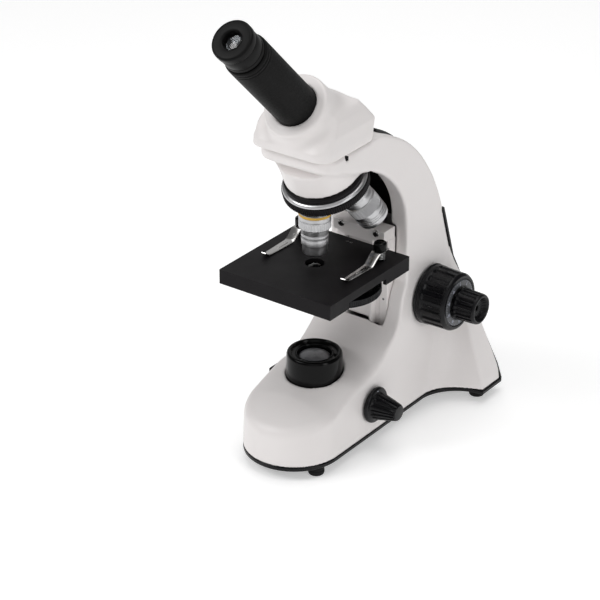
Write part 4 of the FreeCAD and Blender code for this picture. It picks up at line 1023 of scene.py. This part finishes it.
def screw_head(name, spot, axis, radius, rise, slot, body, replaces=()):
    """A domed screw head with a flat near-black cross laid on it as painted shade for its cross recess."""
    rows = [(0, -0.6), (radius, -0.6), (radius, rise * 0.3), (radius * 0.8, rise * 0.8),
            (radius * 0.5, rise), (0, rise)]
    lathe(name, rows, slot, body, base=spot, axis=axis, soft=0.08, steps=48, closed=False,
          replaces=replaces)
    # Painted shade: a flat near-black cross just above the head stands for the shaded cross recess; nothing
    # is cut.
    turn = frame_of(axis)
    verts = []
    faces = []
    deep = radius * 0.7
    wide = radius * 0.28
    for ax, ay in ((deep, wide), (wide, deep)):
        first = len(verts)
        for sx, sy in ((-1, -1), (1, -1), (1, 1), (-1, 1)):
            verts.append(tuple(np.array(spot) + turn @ np.array([sx * ax, sy * ay, rise + 0.02])))
        faces.append(tuple(first + k for k in range(4)))
    build(name + "_recess", verts, faces, "dark_inside", body, sharp=None)


WHEEL_TOP = 120.7
WHEEL_SPOT = (12, 12)


def make_wheel():
    top = WHEEL_TOP
    rows = [(2.1, top - 1.0), (2.1, top), (26.8, top), (28.0, top - 0.5), (28.0, top - 1.2),
            (28.0, top - 4.6), (28.0, top - 5.2), (27.4, top - 5.5), (26.2, top - 5.5), (26.0, top - 1.2)]
    lathe("diaphragm_disc", rows, "black_plastic", "diaphragm", base=(*WHEEL_SPOT, 0),
          replaces=("diaphragm_wheel",), soft=0.25, steps=560,
          grip=knurl_out(110, 0.5, top - 4.8, top - 0.9), sharp=45)
    screw_head("diaphragm_screw", (*WHEEL_SPOT, top - 4.0), (0, 0, -1), 3.6, 1.2, "polished_steel", "stage",
               ("diaphragm_pivot",))
    rows = [(0, top - 3.6), (2.0, top - 3.6), (2.0, 133), (0, 133)]
    lathe("diaphragm_shank", rows, "shaft_steel", "stage", base=(*WHEEL_SPOT, 0), soft=0,
          closed=False, steps=32)


def knurl_out(count, depth, low, high):
    """Teeth cut into the rim only."""
    def grip(angle, radius, height):
        if radius > 27.5 and low < height < high:
            return -depth * (0.5 - 0.5 * np.cos(angle * count))
        return 0 * angle
    return grip


# ---------------------------------------------------------------- clips

def ribbon(name, line, widths, thick, slot, body, replaces=(), x=0.0):
    """A strip that follows a line in the y-z plane, with its own width at each point."""
    line = np.array(line, float)
    ahead = np.gradient(line, axis=0)
    ahead /= np.linalg.norm(ahead, axis=1)[:, None]
    up = np.stack([-ahead[:, 1], ahead[:, 0]], 1)
    up *= np.sign(up[:, 1])[:, None]
    sections = []
    for (y, z), (ny, nz), half in zip(line, up, widths):
        ease = 0.15
        shape = ((-half, 0.2), (-half + ease, 0), (half - ease, 0), (half, 0.2),
                 (half, 0.8), (half - ease, 1), (-half + ease, 1), (-half, 0.8))
        sections.append([(x + sx, y + ny * thick * sh, z + nz * thick * sh) for sx, sh in shape])
    count = len(sections[0])
    verts = [p for section in sections for p in section]
    faces = []
    for s in range(len(sections) - 1):
        faces += [quad(s * count, (s + 1) * count, count, k) for k in range(count)]
    faces.append(tuple(range(count))[::-1])
    faces.append(tuple((len(sections) - 1) * count + k for k in range(count)))
    return build(name, verts, faces, slot, body, replaces, sharp=50)


CLIP_LINE = [(35.6, 5.9), (35.0, 6.5), (33.0, 6.7), (29.1, 6.7), (25.4, 6.7), (23.5, 6.2), (20.5, 3.8),
             (17.5, 1.4), (16.0, 0.6), (14.0, 0.35), (5.0, 0.3), (-2.0, 0.3), (-7.5, 0.4), (-10.5, 0.9),
             (-12.4, 1.8), (-13.6, 2.9)]
CLIP_X = 32.3
CLIP_Y = 29.1
CLIP_HALF = [2.6, 3.3, 3.9, 4.0, 3.9, 3.7, 3.6, 3.5, 3.5, 3.4, 3.1, 2.9, 2.7, 2.6, 2.3, 1.8]


def make_clips():
    for name, sign in SIDES:
        line = [(y, STAGE_TOP + z) for y, z in CLIP_LINE]
        ribbon(f"clip_strip_{name}", line, CLIP_HALF, 0.6, "polished_steel", f"clip_{name}",
               (f"stage_clip_{name}",), x=sign * CLIP_X)
        rib = [(y, STAGE_TOP + 0.85) for y in (12.5, 12.0, 2.5, 2.0)]
        ribbon(f"clip_rib_{name}", rib, [0.5, 1.1, 1.1, 0.5], 0.35, "polished_steel", f"clip_{name}",
               x=sign * CLIP_X)
        at = {"base": (sign * CLIP_X, CLIP_Y, STAGE_TOP)}
        rows = [(0, -3.3), (2.0, -3.3), (2.0, 7.5), (3.6, 7.5), (4.5, 8.0), (4.5, 12.2), (4.2, 13.0),
                (3.2, 13.6), (1.6, 13.8), (0, 13.8)]
        lathe(f"clip_post_{name}", rows, "black_gloss", "stage", replaces=first_only(sign, "clip_posts"),
              soft=0.3, steps=64, closed=False, **at)
        coil(f"clip_coil_{name}", (sign * CLIP_X, CLIP_Y, STAGE_TOP + 0.35), 3.0, 5.4, 4.0, 0.42,
             first_only(sign, "clip_springs"))


def coil(name, base, radius, high, turns, wire, replaces):
    """A round wire spring."""
    steps = int(turns * 28)
    around = 10
    verts = []
    for k in range(steps + 1):
        angle = 2 * math.pi * turns * k / steps
        for n in range(around):
            lean = 2 * math.pi * n / around
            reach = radius + wire * math.cos(lean)
            verts.append((base[0] + reach * math.cos(angle), base[1] + reach * math.sin(angle),
                          base[2] + wire + (high - 2 * wire) * k / steps + wire * math.sin(lean)))
    faces = [quad(k * around, (k + 1) * around, around, n) for k in range(steps) for n in range(around)]
    build(name, verts, faces, "shaft_steel", "stage", replaces, sharp=None)


# ---------------------------------------------------------------- guide, base, switch

def make_guide():
    bevelled("guide_frame", 0.35, "painted_white", "stand")
    bevelled("guide_rails", 0.5, "painted_white", "stand")
    for name, sign in SIDES:
        screw_head(f"guide_screw_{name}", (sign * 14.3, 50.0, 142.4), (0, -1, 0), 2.6, 0.9,
                   "polished_steel", "stand", first_only(sign, "guide_screws"))
    for name, sign in SIDES:
        screw_head(f"rail_screw_{name}", (sign * 17.9, 55.0, 92.0), (0, -1, 0), 0.9, 0.25, "shaft_steel",
                   "stand")


FOOT = [(0, 0), (4.4, 0), (5.2, 0.5), (5.6, 1.6), (5.6, 3.4), (5.2, 3.8), (5.2, 4.3), (5.6, 4.7),
        (5.6, 7.0), (0, 7.0)]
FOOT_SPOTS = [(26.2, -33.7), (-26.2, -33.7), (54.9, 120.6), (-54.9, 120.6)]


def make_base():
    eased = {"base_plate": 0.6, "battery_door": 0.5, "rear_cover": 0.35, "switch_housing": 0.4}
    for node, width in eased.items():
        bevelled(node, width, "black_plastic", "stand")
    bevelled("power_rocker", 0.5, "black_gloss", "rocker")
    for k, (x, y) in enumerate(FOOT_SPOTS):
        lathe(f"foot_{k}", FOOT, "rubber", "stand", base=(x, y, 0),
              replaces=("rubber_feet",) if k == 0 else (), soft=0.3, steps=64, closed=False)


# ---------------------------------------------------------------- studio

CAMERA_RIGHT = Vector((0.8049, 0.5934, 0.0))
CAMERA_UP = Vector((-0.2736, 0.3711, 0.8874))
CAMERA_BACK = Vector((0.5266, -0.7143, 0.4610))
CAMERA_REACH = 1600
CAMERA_SIDESTEP = 9.773
CAMERA_RISE = 24.595
LENS = 145.1


def make_camera():
    data = bpy.data.cameras.new("camera")
    data.lens = LENS
    data.sensor_width = 36
    data.clip_start = 0.05
    data.clip_end = 50
    camera = new_object("camera", data)
    spot = (CAMERA_BACK * CAMERA_REACH - CAMERA_RIGHT * CAMERA_SIDESTEP - CAMERA_UP * CAMERA_RISE
            + Vector((0, 0, STAGE_TOP)))
    place = to_metres([spot])[0]
    turn = Matrix((CAMERA_RIGHT, CAMERA_UP, CAMERA_BACK)).transposed().to_4x4()
    camera.matrix_world = Matrix.Translation(Vector(place)) @ turn
    bpy.context.scene.camera = camera


def add_light(name, spot, aim, size, power):
    data = bpy.data.lights.new(name, "AREA")
    data.shape = "RECTANGLE"
    data.size = size[0]
    data.size_y = size[1]
    data.energy = power
    light = new_object(name, data)
    light.location = spot
    light.rotation_mode = "QUATERNION"
    light.rotation_quaternion = (Vector(aim) - Vector(spot)).to_track_quat("-Z", "Y")


FLOOR_GLOW = 0.40
SKY = 0.42


def shade_sky(tree):
    """A white room with a dark flag on each side, so that turned metal shows its roundness."""
    where = tree.nodes.new("ShaderNodeTexCoord")
    across = tree.nodes.new("ShaderNodeVectorMath")
    across.operation = "DOT_PRODUCT"
    across.inputs[1].default_value = CAMERA_RIGHT
    tree.links.new(where.outputs["Generated"], across.inputs[0])
    ramp = tree.nodes.new("ShaderNodeValToRGB")
    offset = tree.nodes.new("ShaderNodeMath")
    offset.operation = "MULTIPLY_ADD"
    put(offset, {1: 0.5, 2: 0.5})
    tree.links.new(across.outputs["Value"], offset.inputs[0])
    tree.links.new(offset.outputs["Value"], ramp.inputs["Fac"])
    stops = ramp.color_ramp.elements
    stops[0].position = 0.08
    stops[0].color = (0.35, 0.35, 0.35, 1)
    stops[1].position = 0.92
    stops[1].color = (0.25, 0.25, 0.25, 1)
    for place, level in ((0.26, 0.45), (0.36, 1.3), (0.60, 1.3), (0.70, 0.35)):
        stop = stops.new(place)
        stop.color = (level, level, level, 1)
    tree.links.new(ramp.outputs["Color"], tree.nodes["Background"].inputs["Color"])


def make_studio():
    mesh = bpy.data.meshes.new("floor")
    size = 6.0
    mesh.from_pydata([(-size, -size, 0), (size, -size, 0), (size, size, 0), (-size, size, 0)], [],
                     [(0, 1, 2, 3)])
    floor = new_object("floor", mesh)
    look = plain("floor_look", (0.93, 0.93, 0.93), 0.7, 40, 0.01, vary=0.02, patch=0.5)
    shader = look.node_tree.nodes["Principled BSDF"]
    put(shader, {"Emission Color": (1, 1, 1, 1), "Emission Strength": FLOOR_GLOW})
    mesh.materials.append(look)
    world = bpy.data.worlds.new("studio")
    world.use_nodes = True
    shade_sky(world.node_tree)
    world.node_tree.nodes["Background"].inputs["Strength"].default_value = SKY
    bpy.context.scene.world = world
    add_light("key", (-0.9, -1.1, 1.3), (0, 0, 0.15), (0.9, 0.9), 12)
    add_light("top", (0.1, 0.1, 1.7), (0, 0, 0.1), (1.2, 1.2), 9)
    add_light("side", (1.6, -0.3, 0.7), (0, 0, 0.15), (0.5, 1.2), 5.0)
    scene = bpy.context.scene
    scene.view_settings.view_transform = "Standard"
    scene.view_settings.look = "None"


assign_cad_finishes()
make_casting()
make_head()
make_tube()
make_nosepiece()
make_objectives()
make_lamp()
make_knobs()
make_dimmer()
make_stage()
make_wheel()
make_clips()
make_guide()
make_base()
make_studio()
make_camera()
bpy.context.view_layer.update()
